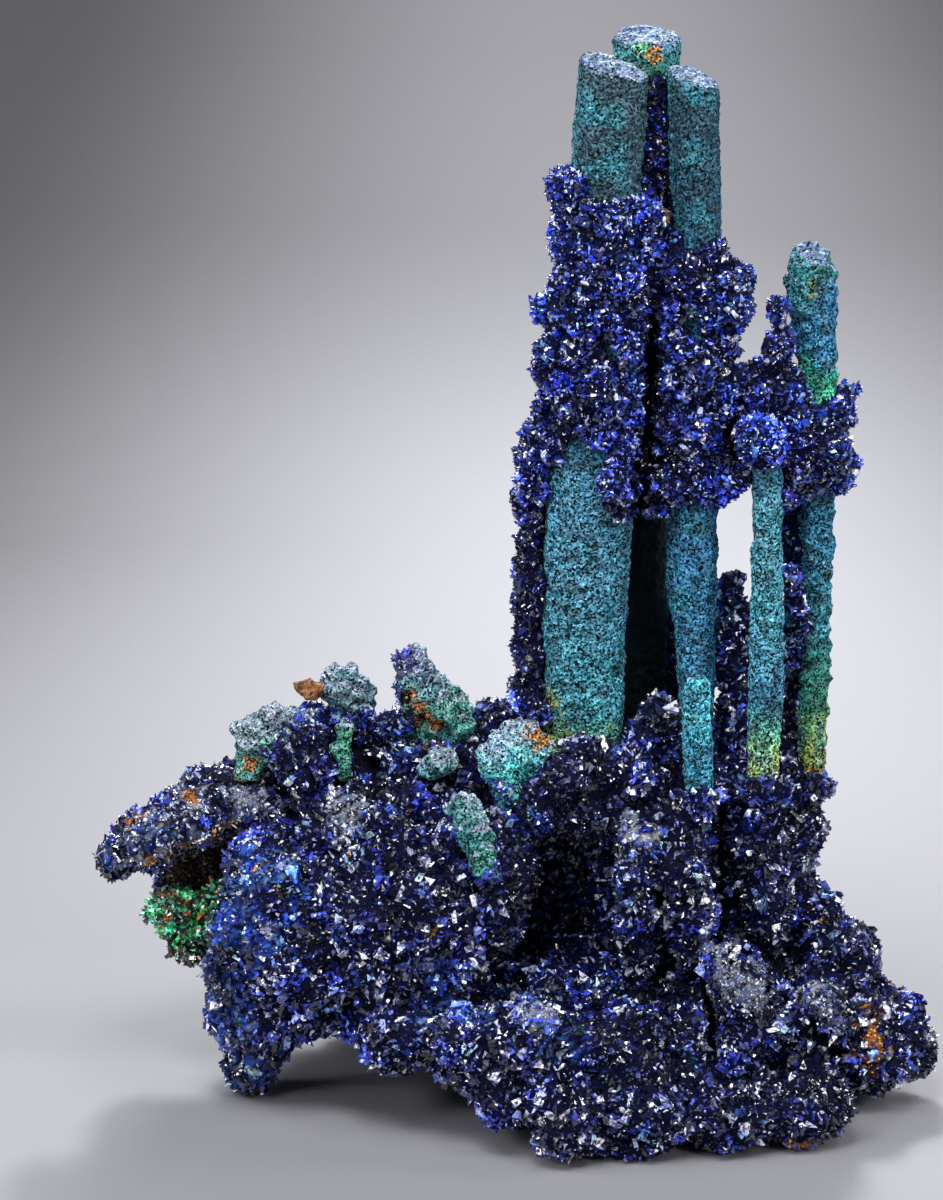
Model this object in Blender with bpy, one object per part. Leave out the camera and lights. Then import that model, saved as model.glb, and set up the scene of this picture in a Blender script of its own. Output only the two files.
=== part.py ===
"""Azurite specimen: malachite stalactites, crusted with azurite, standing on an azurite matrix.

Run with: blender --background --python part.py
The model is in metres with +Z up, and its front looks along -Y. The lists below are in
millimetres, in a working frame whose X zero lies under the left end of the front bulge.
stand_on_origin() then puts the bottom centre of the specimen's box at the origin.
"""

import math
import random
from collections import namedtuple

import bmesh
import bpy
from mathutils import Matrix, Vector, noise
from mathutils.bvhtree import BVHTree

MM = 0.001

# Driving dimensions, in millimetres
GAP = 0.35  # clearance left between two pieces that touch
REACH = 200.0  # past the specimen on every side
VOXEL = 1.2  # grid on which the lumps of the druse are fused into one body
LOBE_VOXEL = 0.7  # the same for the small malachite lobes
MATRIX_NODULE = 7.0  # width of the nodules on the matrix
CROWN_NODULE = 5.6
LOBE_NODULE = 2.6
LOBE_NODULE_HEIGHT = 0.45
LOBE_WAVE_HEIGHT = 0.5
COLUMN_STEP = 15.0  # largest height between two rings of a column
RIB_HEIGHT = 14.0  # height over which a column's ribs fade and come back

# Shares and counts
CRYSTAL_SHARE = 0.30  # share of the druse's faces that carry a crystal
BLADE_SHARE = 0.22  # share of the crystals that are flat-ended blades
CRYSTAL_HEIGHT = (0.30, 0.62)  # of the size of the face it stands on
CRYSTAL_LEAN = 0.25
BLADE_TAPER = 0.55
SLIVER = 0.25  # a face smaller than this share of its longest edge squared carries no crystal
DEEP_FOLD = -0.35  # radians; a face beside a fold deeper than this carries no crystal
CRYSTAL_ROOM = 1.6  # free space round a crystal, in its own heights
NODULE_HEIGHT = 0.2  # of the nodule's width
NODULE_REACH = 0.75  # radius of a nodule, of its width
NODULE_MIDDLE = 0.6  # height at which a nodule leaves the surface where it was
WAVE_HEIGHT = 0.14  # of the nodule's width
WAVE_LENGTH = 2.2
MATRIX_FACES = 3000
CRUST_FACES = 1350
LOBE_FACES = 110
CAVITY_FACES = 160
COLUMN_SIDES = 12
COLUMN_RIBS = 0.10  # of the column's half width
RIBS_ROUND = 2.5
TOP_RINGS = [(1.0, 0.93), (1.7, 0.72)]  # height above the last section, in domes, and width there

# Colours, as sRGB hex
AZURITE_BLUE = "2a338c"
MALACHITE_TEAL = "468a90"
MALACHITE_GREY_GREEN = "5f9a96"
MALACHITE_GREEN = "2f9a62"

# A lump is an ellipsoid: its centre, its three radii and its lean in the plane of the front.
Lump = namedtuple("Lump", "x y z rx ry rz lean", defaults=(0,))

# A column is lofted through sections (height, x of the middle, half width). It stands at the
# depth y, and its half depth is its half width times flat.
Column = namedtuple("Column", "y flat dome slant sections")

COLUMNS = {
    "column_broad": Column(
        y=1.5,
        flat=0.72,
        dome=0.10,
        slant=-0.16,
        sections=[
            (55, 11.0, 6.0),
            (64, 11.3, 6.5),
            (76, 11.0, 7.0),
            (90, 11.2, 7.2),
            (104, 11.8, 6.8),
            (118, 13.0, 5.8),
            (134, 14.2, 5.3),
            (150, 13.9, 5.7),
            (161, 14.3, 5.8),
            (170.5, 14.9, 5.4),
        ],
    ),
    "column_middle": Column(
        y=4,
        flat=0.95,
        dome=0.10,
        slant=-0.22,
        sections=[
            (49, 29.2, 3.2),
            (66, 29.4, 2.9),
            (76, 28.9, 3.3),
            (85, 28.2, 4.2),
            (97, 28.3, 4.1),
            (120, 28.2, 3.9),
            (142, 28.3, 3.9),
            (156, 27.5, 4.1),
            (168, 27.2, 4.0),
        ],
    ),
    "column_back": Column(
        y=13.5,
        flat=0.80,
        dome=0.10,
        slant=0.05,
        sections=[
            (52, 19.5, 5.6),
            (80, 20.2, 5.4),
            (110, 20.2, 5.2),
            (140, 20.4, 5.4),
            (172.3, 20.4, 5.4),
        ],
    ),
    "column_slender": Column(
        y=-3,
        flat=1.0,
        dome=0.5,
        slant=0.0,
        sections=[
            (50, 39.9, 2.6),
            (57, 39.9, 2.6),
            (70, 40.2, 2.9),
            (84, 39.9, 2.6),
            (94, 39.8, 2.4),
            (108, 39.5, 2.4),
        ],
    ),
    "column_right": Column(
        y=3,
        flat=1.0,
        dome=0.35,
        slant=-0.1,
        sections=[
            (50, 47.8, 2.3),
            (60, 48.2, 2.3),
            (70, 48.5, 2.5),
            (84, 48.4, 2.4),
            (97, 48.2, 2.7),
            (112, 48.2, 2.5),
            (118, 47.9, 2.9),
            (126, 46.9, 3.6),
            (134, 46.2, 4.0),
            (139, 46.1, 3.6),
        ],
    ),
    "column_stub": Column(
        y=-8,
        flat=0.9,
        dome=0.6,
        slant=0.1,
        sections=[
            (47, 29.4, 2.2),
            (56, 29.3, 2.4),
            (64, 29.0, 2.4),
            (70.5, 28.8, 2.3),
        ],
    ),
}

# Malachite knobs and fingers on the left shoulder
LOBES = {
    "malachite_knob_low": [
        Lump(-41.0, 3, 58.5, 4.4, 4.2, 4.6),
        Lump(-37.0, 4, 60.5, 5.0, 4.0, 3.4),
        Lump(-43.0, 2, 54.5, 2.6, 2.6, 4.0),
    ],
    "malachite_knob_high": [
        Lump(-28.2, 8, 65.6, 3.6, 3.2, 3.9),
        Lump(-25.0, 8, 63.6, 2.5, 2.5, 3.4),
        Lump(-27.8, 7, 61.0, 3.0, 3.0, 3.0),
    ],
    "malachite_strip": [
        Lump(-27.8, -1.5, 57.0, 1.6, 1.8, 5.6, 4),
    ],
    "malachite_crag": [
        Lump(-15.0, 5, 66.0, 4.3, 3.6, 5.6, -18),
        Lump(-10.5, 4, 62.5, 3.4, 3.2, 5.8, -12),
        Lump(-17.5, 7, 70.0, 2.3, 2.3, 3.2, 20),
        Lump(-13.0, 7, 58.0, 5.6, 3.8, 6.0),
    ],
    "malachite_bud": [
        Lump(-12.6, -2.5, 56.2, 3.0, 2.5, 2.9),
    ],
    "malachite_saddle": [
        Lump(0.6, -3, 58.5, 5.6, 4.4, 5.4),
        Lump(3.6, -3, 57.0, 3.4, 3.6, 3.6),
        Lump(-3.4, -3, 56.6, 2.8, 3.0, 3.0),
        Lump(-1.0, -4, 52.6, 2.6, 2.8, 4.2),
    ],
    "malachite_finger": [
        Lump(-8.2, -15.5, 53.2, 2.9, 2.8, 3.0),
        Lump(-6.9, -17.5, 49.6, 2.9, 2.7, 4.4, -14),
        Lump(-5.4, -19.0, 46.2, 2.2, 2.2, 3.6, -14),
    ],
}

# The matrix, feature by feature
PEDESTAL = [
    Lump(27, 8, 34, 23, 15, 22),
    Lump(12, 4, 50, 13, 11, 11),
    Lump(30, 6, 45, 17, 12, 10),
    Lump(11, -6, 53, 11.5, 7.5, 9),
    Lump(24, -7, 47, 9, 7, 7),
    Lump(40.2, -3, 44, 5.0, 5.5, 13),
    Lump(47.0, 2, 44, 4.0, 6.0, 13.5),
    Lump(29.5, -10, 48, 4.4, 4.2, 7),
    Lump(3.4, 6, 58, 4.6, 6.5, 8),
    Lump(47.0, 4, 28, 5.5, 7.0, 9),
    Lump(35.6, 9, 68, 3.6, 4.0, 18),
    Lump(44.2, 6.5, 60, 2.6, 3.2, 14),
    Lump(23.5, 0, 60, 3.4, 4.0, 8),
]
PILLARS = [
    Lump(20.0, -14, 37, 5.2, 5.5, 14),
    Lump(28.6, -13, 35, 4.2, 5.0, 13),
    Lump(33.6, -19, 21, 4.6, 5.5, 12, 12),
    Lump(38.0, -21, 17, 4.2, 5.0, 10, 10),
    Lump(48.3, -18, 16, 6.2, 6.5, 9.5),
    Lump(58.0, -13, 9, 5.0, 6.0, 8.0),
    Lump(40.5, -5, 30, 5.0, 6.0, 9),
]
FRONT_APRON = [
    Lump(22, 2, 11, 40, 31, 13.5),
    Lump(1.5, -26, 14.5, 9, 8.5, 10.5),
    Lump(9.0, -30.5, 6.5, 7.5, 7.0, 8.2),
    Lump(20, -28.5, 6, 10, 7.5, 7.5),
    Lump(33, -27, 5, 10, 8.0, 7.0),
    Lump(46, -24, 5.5, 9.5, 8.5, 7.0),
    Lump(-8, -23, 16, 9, 8, 8),
    Lump(14, -23, 16, 10, 8, 8),
    Lump(-19, -19, 17, 8, 8, 8),
    Lump(-1, -28, 9.5, 6.0, 6, 6.0),
]
RIGHT_WING = [
    Lump(53, 4, 17, 9, 12, 9),
    Lump(61, -4, 11.0, 8.2, 8, 6.8),
    Lump(66, -7, 8.5, 4.0, 6, 5.5),
    Lump(53, 0, 24, 5, 7, 4.5),
    Lump(58, -9, 14, 6, 7, 6.5),
]
LEFT_BLOCK = [
    Lump(-35, -9, 28, 17, 13, 19),
    Lump(-42, -8, 18, 10.0, 9, 15),
    Lump(-43.5, -7, 7, 5.5, 6.0, 8),
    Lump(-20, -12, 30, 16, 13, 18),
    Lump(-8, -9, 38, 13, 12, 14),
    Lump(-25, -4, 42, 18, 12, 13),
]
LEFT_SHOULDER = [
    Lump(-31, 4, 52, 12, 9, 7.5),
    Lump(-19, 6, 53, 11, 9, 6.5),
    Lump(-7, 6, 54, 9, 9, 7.0),
    Lump(-42, 6, 48, 8, 8, 7.0),
    Lump(-30, 9, 58, 8, 5, 4),
    Lump(-4.5, 10, 61, 3.4, 4, 4.4),
]
LEDGE = [
    Lump(-47, 5, 47.5, 8, 9, 6.4, -20),
    Lump(-54, 4, 44.0, 8, 9, 6.2, -28),
    Lump(-60, 3, 41.0, 7.0, 8, 5.6, -24),
    Lump(-64, 2, 38.0, 4.6, 7, 4.2, -10),
]
CAVITY_WALL = [
    Lump(-45, 14, 34, 12, 8, 13),
    Lump(-52, 13, 30, 8.5, 6, 9),
]
BACK = [
    Lump(-22, 16, 28, 24, 15, 22),
    Lump(8, 20, 30, 20, 13, 22),
    Lump(32, 20, 26, 18, 13, 20),
    Lump(45, 13, 17, 11, 11, 11),
    Lump(-12, 22, 14, 20, 12, 14),
]
FEET = [
    Lump(-43.5, -7, 3, 4.0, 4.5, 6),
    Lump(9, -31, 2, 7.0, 5.0, 6),
    Lump(47, -23, 2, 6.5, 6.0, 6),
    Lump(-14, 25, 2, 9.0, 6.0, 6),
    Lump(38, 24, 2, 9.0, 6.0, 6),
]
MATRIX = [
    *PEDESTAL,
    *PILLARS,
    *FRONT_APRON,
    *RIGHT_WING,
    *LEFT_BLOCK,
    *LEFT_SHOULDER,
    *LEDGE,
    *CAVITY_WALL,
    *BACK,
    *FEET,
]

# Hollows cut into the fused matrix
HOLLOWS = [
    Lump(-58, 0, 31.5, 12, 10, 6.8, -18),  # the cavity under the ledge
    Lump(-50, -4, 35, 6.5, 9, 5.6),
    Lump(7, -16, 33, 8.0, 9, 7.5),  # the cave left of the pillars
    Lump(5, -16, 26, 5.0, 8, 4.5),
    Lump(53.3, -22, 13, 1.8, 5, 8.0),  # slits between the pillars
    Lump(24.6, -20, 32, 1.8, 6, 15),
    Lump(32.6, -10, 42, 1.8, 9, 14),
    Lump(42.8, -23, 17, 1.7, 5, 10),
    Lump(37.0, -14, 33, 2.2, 6, 5),
    Lump(-21, -2, 57, 3.5, 5, 4),  # pits in the left shoulder
    Lump(-35, -7, 54, 3.5, 4, 3),
    Lump(-4, -9, 55, 3.0, 4, 5),
    Lump(-17, -27, 22, 3.0, 4, 3.5),
    Lump(60, -18, 14, 3.0, 4, 3.0),
]
ARCH = Lump(-21, -24, 0, 17.0, 17, 8.5)  # the opening between the left foot and the front bulge

CAVITY_CRYSTALS = [
    Lump(-55.5, 2, 29.0, 5.2, 4.0, 4.4),
    Lump(-53.0, 1, 23.5, 5.0, 3.8, 3.8),
    Lump(-49.0, 2, 28.0, 3.0, 3.0, 5.5),
]

# The crown: sleeves of crust round the columns, the arm, the right-hand cluster and the flank
CROWN_LEFT = [
    Lump(14.0, 3, 146, 8.2, 9.4, 5.8),
    Lump(13.8, 3, 139, 8.6, 9.6, 8),
    Lump(13.2, 4, 129, 8.8, 9.5, 8),
    Lump(12.4, 4, 119, 9.3, 10, 8),
    Lump(11.0, 4, 110, 9.8, 9.5, 8),
    Lump(16.5, 0, 102, 5.0, 7, 6),
    Lump(19.5, 12, 143, 8.0, 8.5, 8),
    Lump(19.0, 12, 128, 8.5, 9, 12),
    Lump(18.0, 13, 110, 8.5, 8, 14),
    Lump(5.9, 0, 131.5, 2.8, 4, 3.0),
    Lump(6.8, 1, 150, 2.4, 3.5, 3.0),
    Lump(5.0, 1, 122, 3.0, 3.5, 3.0),
    Lump(21.6, 5, 156, 2.3, 4.0, 8.0),
]
CROWN_FLANK = [
    Lump(2.6, 5, 104, 3.2, 7, 8),
    Lump(2.6, 5, 94, 3.3, 7, 8),
    Lump(2.8, 5, 84, 3.4, 7, 8),
    Lump(3.0, 5, 74, 3.5, 7, 8),
    Lump(3.4, 5, 64, 3.8, 7, 7),
    Lump(8.0, 10, 98, 7.0, 5, 10),
    Lump(7.0, 10, 82, 5.0, 4, 12),
    Lump(6.5, 10, 67, 4.5, 4, 8),
]
CROWN_MIDDLE = [
    Lump(28.0, 4.5, 136.5, 6.0, 7.4, 6.5),
    Lump(28.4, 4.5, 129, 6.6, 7.5, 6),
    Lump(28.2, 4.5, 120, 7.0, 8.0, 7),
    Lump(28.3, 4.5, 111, 6.7, 8.0, 8),
    Lump(28.2, 4.5, 102, 6.4, 7.5, 6),
    Lump(22.4, 3, 98, 2.6, 4, 3.6),
    Lump(34.2, 2, 131.5, 3.6, 4.4, 4.8),
    Lump(22.0, 6, 134, 4.0, 6, 7),
]
CROWN_RIGHT = [
    Lump(41.0, 0, 130.5, 2.0, 2.6, 3.8),
    Lump(41.2, 0, 124, 2.6, 3.2, 4.6),
    Lump(36.4, 2, 116, 3.6, 4.6, 5.0),
    Lump(42.0, 1, 116, 5.0, 5.0, 5.5),
    Lump(39.3, -3.5, 109.5, 4.8, 4.6, 4.8),
    Lump(46.8, 2, 110, 6.2, 6.6, 7.5),
    Lump(50.6, 3, 115.5, 3.6, 4.5, 4.2),
    Lump(50.8, 3, 104.5, 3.2, 4.5, 4.8),
    Lump(43.0, 2, 102, 4.4, 4.6, 4.4),
    Lump(36.5, 0, 106, 2.8, 4.0, 5.0),
    Lump(44.2, 7, 91, 2.4, 3.0, 12),
]
CROWN = CROWN_LEFT + CROWN_FLANK + CROWN_MIDDLE + CROWN_RIGHT
CROWN_FOOT = 62.5  # height at which the crown's flank meets the matrix
FLANK_SIDE = 12.0  # the flank is left of this


def clear_scene():
    """Removes every object, the startup cube among them."""
    for obj in list(bpy.data.objects):
        bpy.data.objects.remove(obj, do_unlink=True)


def linear(channel):
    """An sRGB channel, 0 to 1, as linear light."""
    if channel <= 0.04045:
        return channel / 12.92
    return ((channel + 0.055) / 1.055) ** 2.4


def stone(name, colour, roughness):
    """A plain mineral material. The colour is an sRGB hex string."""
    material = bpy.data.materials.new(name)
    material.use_nodes = True
    shader = material.node_tree.nodes["Principled BSDF"]
    channels = [linear(int(colour[i : i + 2], 16) / 255) for i in (0, 2, 4)]
    shader.inputs["Base Color"].default_value = (*channels, 1)
    shader.inputs["Roughness"].default_value = roughness
    shader.inputs["Metallic"].default_value = 0
    material.diffuse_color = (*channels, 1)
    return material


def new_object(name, bm):
    mesh = bpy.data.meshes.new(name)
    bm.to_mesh(mesh)
    bm.free()
    obj = bpy.data.objects.new(name, mesh)
    bpy.context.scene.collection.objects.link(obj)
    return obj


def lumps_mesh(lumps):
    """One closed ellipsoid for each lump, not yet fused."""
    bm = bmesh.new()
    for lump in lumps:
        size = (lump.rx, lump.ry, lump.rz, 1)
        place = Matrix.Translation((lump.x, lump.y, lump.z))
        turn = Matrix.Rotation(math.radians(lump.lean), 4, "Y")
        bmesh.ops.create_icosphere(
            bm, subdivisions=3, radius=1, matrix=place @ turn @ Matrix.Diagonal(size)
        )
    return bm


def largest_body(bm):
    """Keeps the largest connected shell, and so drops crumbs and sealed voids."""
    unseen = set(bm.verts)
    shells = []
    while unseen:
        shell = {unseen.pop()}
        edge_of_growth = list(shell)
        while edge_of_growth:
            vert = edge_of_growth.pop()
            for edge in vert.link_edges:
                other = edge.other_vert(vert)
                if other in unseen:
                    unseen.remove(other)
                    shell.add(other)
                    edge_of_growth.append(other)
        shells.append(shell)
    shells.sort(key=len)
    crumbs = [vert for shell in shells[:-1] for vert in shell]
    bmesh.ops.delete(bm, geom=crumbs, context="VERTS")


def bake(obj):
    """Applies the object's modifiers, and keeps its largest body."""
    graph = bpy.context.evaluated_depsgraph_get()
    baked = bpy.data.meshes.new_from_object(obj.evaluated_get(graph))
    obj.modifiers.clear()
    bm = bmesh.new()
    bm.from_mesh(baked)
    bpy.data.meshes.remove(baked)
    largest_body(bm)
    bm.to_mesh(obj.data)
    bm.free()


def remesh(obj, voxel):
    fuse = obj.modifiers.new("Fuse", "REMESH")
    fuse.mode = "VOXEL"
    fuse.voxel_size = voxel
    bake(obj)


def relax(obj, rounds):
    smooth = obj.modifiers.new("Relax", "SMOOTH")
    smooth.factor = 0.5
    smooth.iterations = rounds
    bake(obj)


def thin_out(obj, faces):
    """Collapses the mesh to about this many triangles."""
    thin = obj.modifiers.new("Thin out", "DECIMATE")
    thin.ratio = faces / sum(len(face.vertices) - 2 for face in obj.data.polygons)
    thin.use_collapse_triangulate = True
    bake(obj)


def cut(obj, cutter, tangled=False):
    """Cuts the cutter's shape away. A tangled cutter crosses itself in places."""
    boolean = obj.modifiers.new("Cut", "BOOLEAN")
    boolean.operation = "DIFFERENCE"
    boolean.solver = "EXACT"
    boolean.use_self = tangled
    boolean.object = cutter
    bake(obj)
    bpy.data.objects.remove(cutter, do_unlink=True)


def box_cutter(low, high):
    bm = bmesh.new()
    middle = (Vector(low) + Vector(high)) / 2
    size = Vector(high) - Vector(low)
    bmesh.ops.create_cube(bm, size=1, matrix=Matrix.Translation(middle) @ Matrix.Diagonal((*size, 1)))
    return new_object("cutter", bm)


def swollen(obj, clearance):
    """A cutter of the object's own shape, larger by the clearance on every side."""
    bm = bmesh.new()
    bm.from_mesh(obj.data)
    bm.normal_update()
    moved = [vert.co + vert.normal * clearance * vert.calc_shell_factor() for vert in bm.verts]
    for vert, place in zip(bm.verts, moved):
        vert.co = place
    return new_object("cutter", bm)


def nodule_height(point, cell):
    """Height, 0 to 1, of round botryoidal nodules about one cell wide."""
    distances, _ = noise.voronoi(point / cell)
    return math.sqrt(max(0.0, 1 - (distances[0] / NODULE_REACH) ** 2))


def roughen(obj, coarse, cell, nodule):
    """Moves the surface by slow waves, and raises nodules of this cell size on it."""
    bm = bmesh.new()
    bm.from_mesh(obj.data)
    bm.normal_update()
    moved = []
    for vert in bm.verts:
        wave = noise.noise(vert.co / (WAVE_LENGTH * cell)) * coarse
        swell = nodule * (nodule_height(vert.co, cell) - NODULE_MIDDLE)
        moved.append(vert.co + vert.normal * (wave + swell))
    for vert, place in zip(bm.verts, moved):
        vert.co = place
    bm.to_mesh(obj.data)
    bm.free()


def surface_of(objects):
    """One search tree over the surfaces of several objects."""
    bm = bmesh.new()
    for obj in objects:
        bm.from_mesh(obj.data)
    tree = BVHTree.FromBMesh(bm)
    bm.free()
    return tree


def takes_crystal(face, neighbours):
    """Whether a crystal on this face is clear of the surface round it and of other pieces."""
    area = face.calc_area()
    longest = max(edge.calc_length() for edge in face.edges)
    if area < SLIVER * longest * longest or min(vert.co.z for vert in face.verts) < GAP:
        return False
    if any(edge.calc_face_angle_signed(0) < DEEP_FOLD for edge in face.edges):
        return False
    height = CRYSTAL_HEIGHT[1] * math.sqrt(area)
    return neighbours.find_nearest(face.calc_center_median(), CRYSTAL_ROOM * height + GAP)[0] is None


def grow_crystals(obj, neighbours, seed):
    """Raises flat-faced crystals on some of the triangles: points, and blades with a flat end."""
    rng = random.Random(seed)
    bm = bmesh.new()
    bm.from_mesh(obj.data)
    bm.normal_update()
    tree = surface_of(neighbours)
    chosen = [
        face for face in bm.faces if rng.random() < CRYSTAL_SHARE and takes_crystal(face, tree)
    ]
    for face in chosen:
        height = math.sqrt(face.calc_area()) * rng.uniform(*CRYSTAL_HEIGHT)
        lean = Vector([rng.uniform(-CRYSTAL_LEAN, CRYSTAL_LEAN) for _ in range(3)])
        way = (face.normal + lean).normalized()
        middle = face.calc_center_median()
        if middle.z + way.z * height < GAP:
            continue
        if rng.random() < BLADE_SHARE:
            end = bmesh.ops.extrude_discrete_faces(bm, faces=[face])["faces"][0]
            for vert in end.verts:
                vert.co = middle + (vert.co - middle) * BLADE_TAPER + way * height
        else:
            tip = bmesh.ops.poke(bm, faces=[face])["verts"][0]
            tip.co += way * height
    bmesh.ops.triangulate(bm, faces=bm.faces)
    bm.to_mesh(obj.data)
    bm.free()


def growth(name, lumps, hollows, faces, cell):
    """The body under a druse: fused lumps, less the hollows, with nodules on it."""
    obj = new_object(name, lumps_mesh(lumps))
    remesh(obj, VOXEL)
    for hollow in hollows:
        cut(obj, new_object("cutter", lumps_mesh([hollow])))
    remesh(obj, VOXEL)
    relax(obj, 3)
    roughen(obj, coarse=WAVE_HEIGHT * cell, cell=cell, nodule=NODULE_HEIGHT * cell)
    remesh(obj, VOXEL)
    thin_out(obj, faces)
    return obj


def column_rings(column):
    """(height, x, half width) of each ring: the sections, closer together, then the rounded top."""
    rings = []
    for (z0, x0, r0), (z1, x1, r1) in zip(column.sections, column.sections[1:]):
        steps = max(1, round((z1 - z0) / COLUMN_STEP))
        for i in range(steps):
            t = i / steps
            rings.append((z0 + t * (z1 - z0), x0 + t * (x1 - x0), r0 + t * (r1 - r0)))
    z, x, radius = column.sections[-1]
    rings.append((z, x, radius))
    for rise, width in TOP_RINGS:
        rings.append((z + rise * column.dome * radius, x, radius * width))
    return rings


def column_mesh(column):
    """A lofted stalactite, with long shallow ribs and dents. Its ends are flat."""
    bm = bmesh.new()
    last = None
    for z, x, radius in column_rings(column):
        ring = []
        for i in range(COLUMN_SIDES):
            angle = math.tau * i / COLUMN_SIDES
            way = Vector((math.cos(angle), math.sin(angle) * column.flat, 0))
            place = (way.x * RIBS_ROUND, way.y * RIBS_ROUND + column.y, z / RIB_HEIGHT + x)
            reach = radius * (1 + COLUMN_RIBS * noise.noise(Vector(place)))
            tip = column.slant * way.x * radius if z >= column.sections[-1][0] else 0
            ring.append(bm.verts.new(Vector((x, column.y, z + tip)) + way * reach))
        if last:
            for i in range(COLUMN_SIDES):
                j = (i + 1) % COLUMN_SIDES
                bm.faces.new((last[i], last[j], ring[j], ring[i]))
        else:
            bm.faces.new(reversed(ring))
        last = ring
    bm.faces.new(last)
    bmesh.ops.triangulate(bm, faces=bm.faces)
    return bm


def lobe(name, lumps, faces):
    """A small malachite body: fused lumps with fine nodules on it."""
    obj = new_object(name, lumps_mesh(lumps))
    remesh(obj, LOBE_VOXEL)
    relax(obj, 2)
    roughen(obj, coarse=LOBE_WAVE_HEIGHT, cell=LOBE_NODULE, nodule=LOBE_NODULE_HEIGHT)
    remesh(obj, LOBE_VOXEL)
    thin_out(obj, faces)
    return obj


def finish(obj, colour, roughness, smooth):
    """Puts the object in metres, with its origin at its foot, its material and its shading."""
    low = [min(vert.co[axis] for vert in obj.data.vertices) for axis in range(3)]
    high = [max(vert.co[axis] for vert in obj.data.vertices) for axis in range(3)]
    foot = Vector(((low[0] + high[0]) / 2, (low[1] + high[1]) / 2, low[2]))
    obj.data.transform(Matrix.Scale(MM, 4) @ Matrix.Translation(-foot))
    obj.location = foot * MM
    obj.data.materials.clear()
    obj.data.materials.append(stone(f"{obj.name}_stone", colour, roughness))
    if smooth:
        obj.data.shade_smooth()
    else:
        obj.data.shade_flat()


def stand_on_origin(objects):
    """Parents the pieces to one empty, with the bottom centre of their box at the origin."""
    corners = [obj.location + vert.co for obj in objects for vert in obj.data.vertices]
    low = [min(corner[axis] for corner in corners) for axis in range(3)]
    high = [max(corner[axis] for corner in corners) for axis in range(3)]
    shift = Vector((-(low[0] + high[0]) / 2, -(low[1] + high[1]) / 2, -low[2]))
    specimen = bpy.data.objects.new("azurite_specimen", None)
    bpy.context.scene.collection.objects.link(specimen)
    for obj in objects:
        obj.location += shift
        obj.parent = specimen


def main():
    clear_scene()
    matrix = growth("azurite_matrix", MATRIX, HOLLOWS + [ARCH], MATRIX_FACES, MATRIX_NODULE)
    crown = growth("azurite_crown", CROWN, [], CRUST_FACES, CROWN_NODULE)
    cavity = lobe("malachite_cavity_crystals", CAVITY_CRYSTALS, CAVITY_FACES)
    columns = [new_object(name, column_mesh(column)) for name, column in COLUMNS.items()]
    lobes = [lobe(name, lumps, LOBE_FACES) for name, lumps in LOBES.items()]

    cut(crown, box_cutter((-REACH, -REACH, -REACH), (REACH, REACH, CROWN_FOOT)))
    cut(matrix, box_cutter((-REACH, -REACH, CROWN_FOOT - GAP), (FLANK_SIDE, REACH, REACH)))
    cut(matrix, box_cutter((-REACH, -REACH, -REACH), (REACH, REACH, 0)))
    saddle, broad = (bpy.data.objects[name] for name in ("malachite_saddle", "column_broad"))
    cut(saddle, swollen(broad, GAP), tangled=True)
    set_in = [cavity, *lobes, *columns]
    for piece in set_in:
        cut(matrix, swollen(piece, GAP), tangled=True)
        cut(crown, swollen(piece, GAP), tangled=True)
    grow_crystals(matrix, [crown, *set_in], seed=3)
    grow_crystals(crown, [matrix, *set_in], seed=5)
    grow_crystals(cavity, [matrix], seed=7)

    pieces = [matrix, crown, *set_in]
    for piece in (matrix, crown):
        finish(piece, AZURITE_BLUE, roughness=0.35, smooth=False)
    for piece in lobes:
        finish(piece, MALACHITE_GREY_GREEN, roughness=0.75, smooth=False)
    for piece in columns:
        finish(piece, MALACHITE_TEAL, roughness=0.75, smooth=True)
    finish(cavity, MALACHITE_GREEN, roughness=0.5, smooth=False)
    stand_on_origin(pieces)


main()
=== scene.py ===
"""Azurite and malachite specimen: druse, stalactites, knobs and a plain stage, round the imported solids.

Sizes are in metres, and in millimetres in the tables. The druse grows on smoothed copies of the
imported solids, so each piece stays where its solid is.
"""

import itertools
import math
from collections import namedtuple

import bmesh
import bpy
import numpy as np
from mathutils import Matrix, Vector
from mathutils.bvhtree import BVHTree


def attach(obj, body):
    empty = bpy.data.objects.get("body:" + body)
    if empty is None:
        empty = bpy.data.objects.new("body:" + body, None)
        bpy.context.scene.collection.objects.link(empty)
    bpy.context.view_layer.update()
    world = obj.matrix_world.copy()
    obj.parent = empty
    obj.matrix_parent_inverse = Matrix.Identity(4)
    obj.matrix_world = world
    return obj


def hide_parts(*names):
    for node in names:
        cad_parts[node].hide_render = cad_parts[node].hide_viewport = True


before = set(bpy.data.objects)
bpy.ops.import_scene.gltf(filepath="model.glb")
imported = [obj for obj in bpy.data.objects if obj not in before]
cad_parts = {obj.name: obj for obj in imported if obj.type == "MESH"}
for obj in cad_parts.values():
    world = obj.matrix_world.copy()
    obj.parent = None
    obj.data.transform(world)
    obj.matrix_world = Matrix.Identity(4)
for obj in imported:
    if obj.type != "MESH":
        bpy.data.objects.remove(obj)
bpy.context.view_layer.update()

bl_info = {
    "name": "Azurite and malachite specimen",
    "version": (1, 0, 0),
    "blender": (4, 5, 0),
    "location": "3D View > Sidebar > Specimen",
    "description": "Grows azurite druse and malachite skins on the specimen's solids",
    "category": "Add Mesh",
}

MM = 0.001
WAVES = 24  # that cross to make one random height
TRIES = 6  # random places for each cell of a grid, of which one is kept
PATCH_RAGGED = 0.35  # how far the rim of a patch wanders, as a share of its radius
SHADE_RAGGED = 0.3  # and the rim of a dark place
SOCKET_DEPTH = 3 * MM  # a place this far inside a solid, at most, is known to be inside
SOCKET_GAP = 0.8 * MM  # the most room between a stalactite and the socket that it stands in

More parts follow.
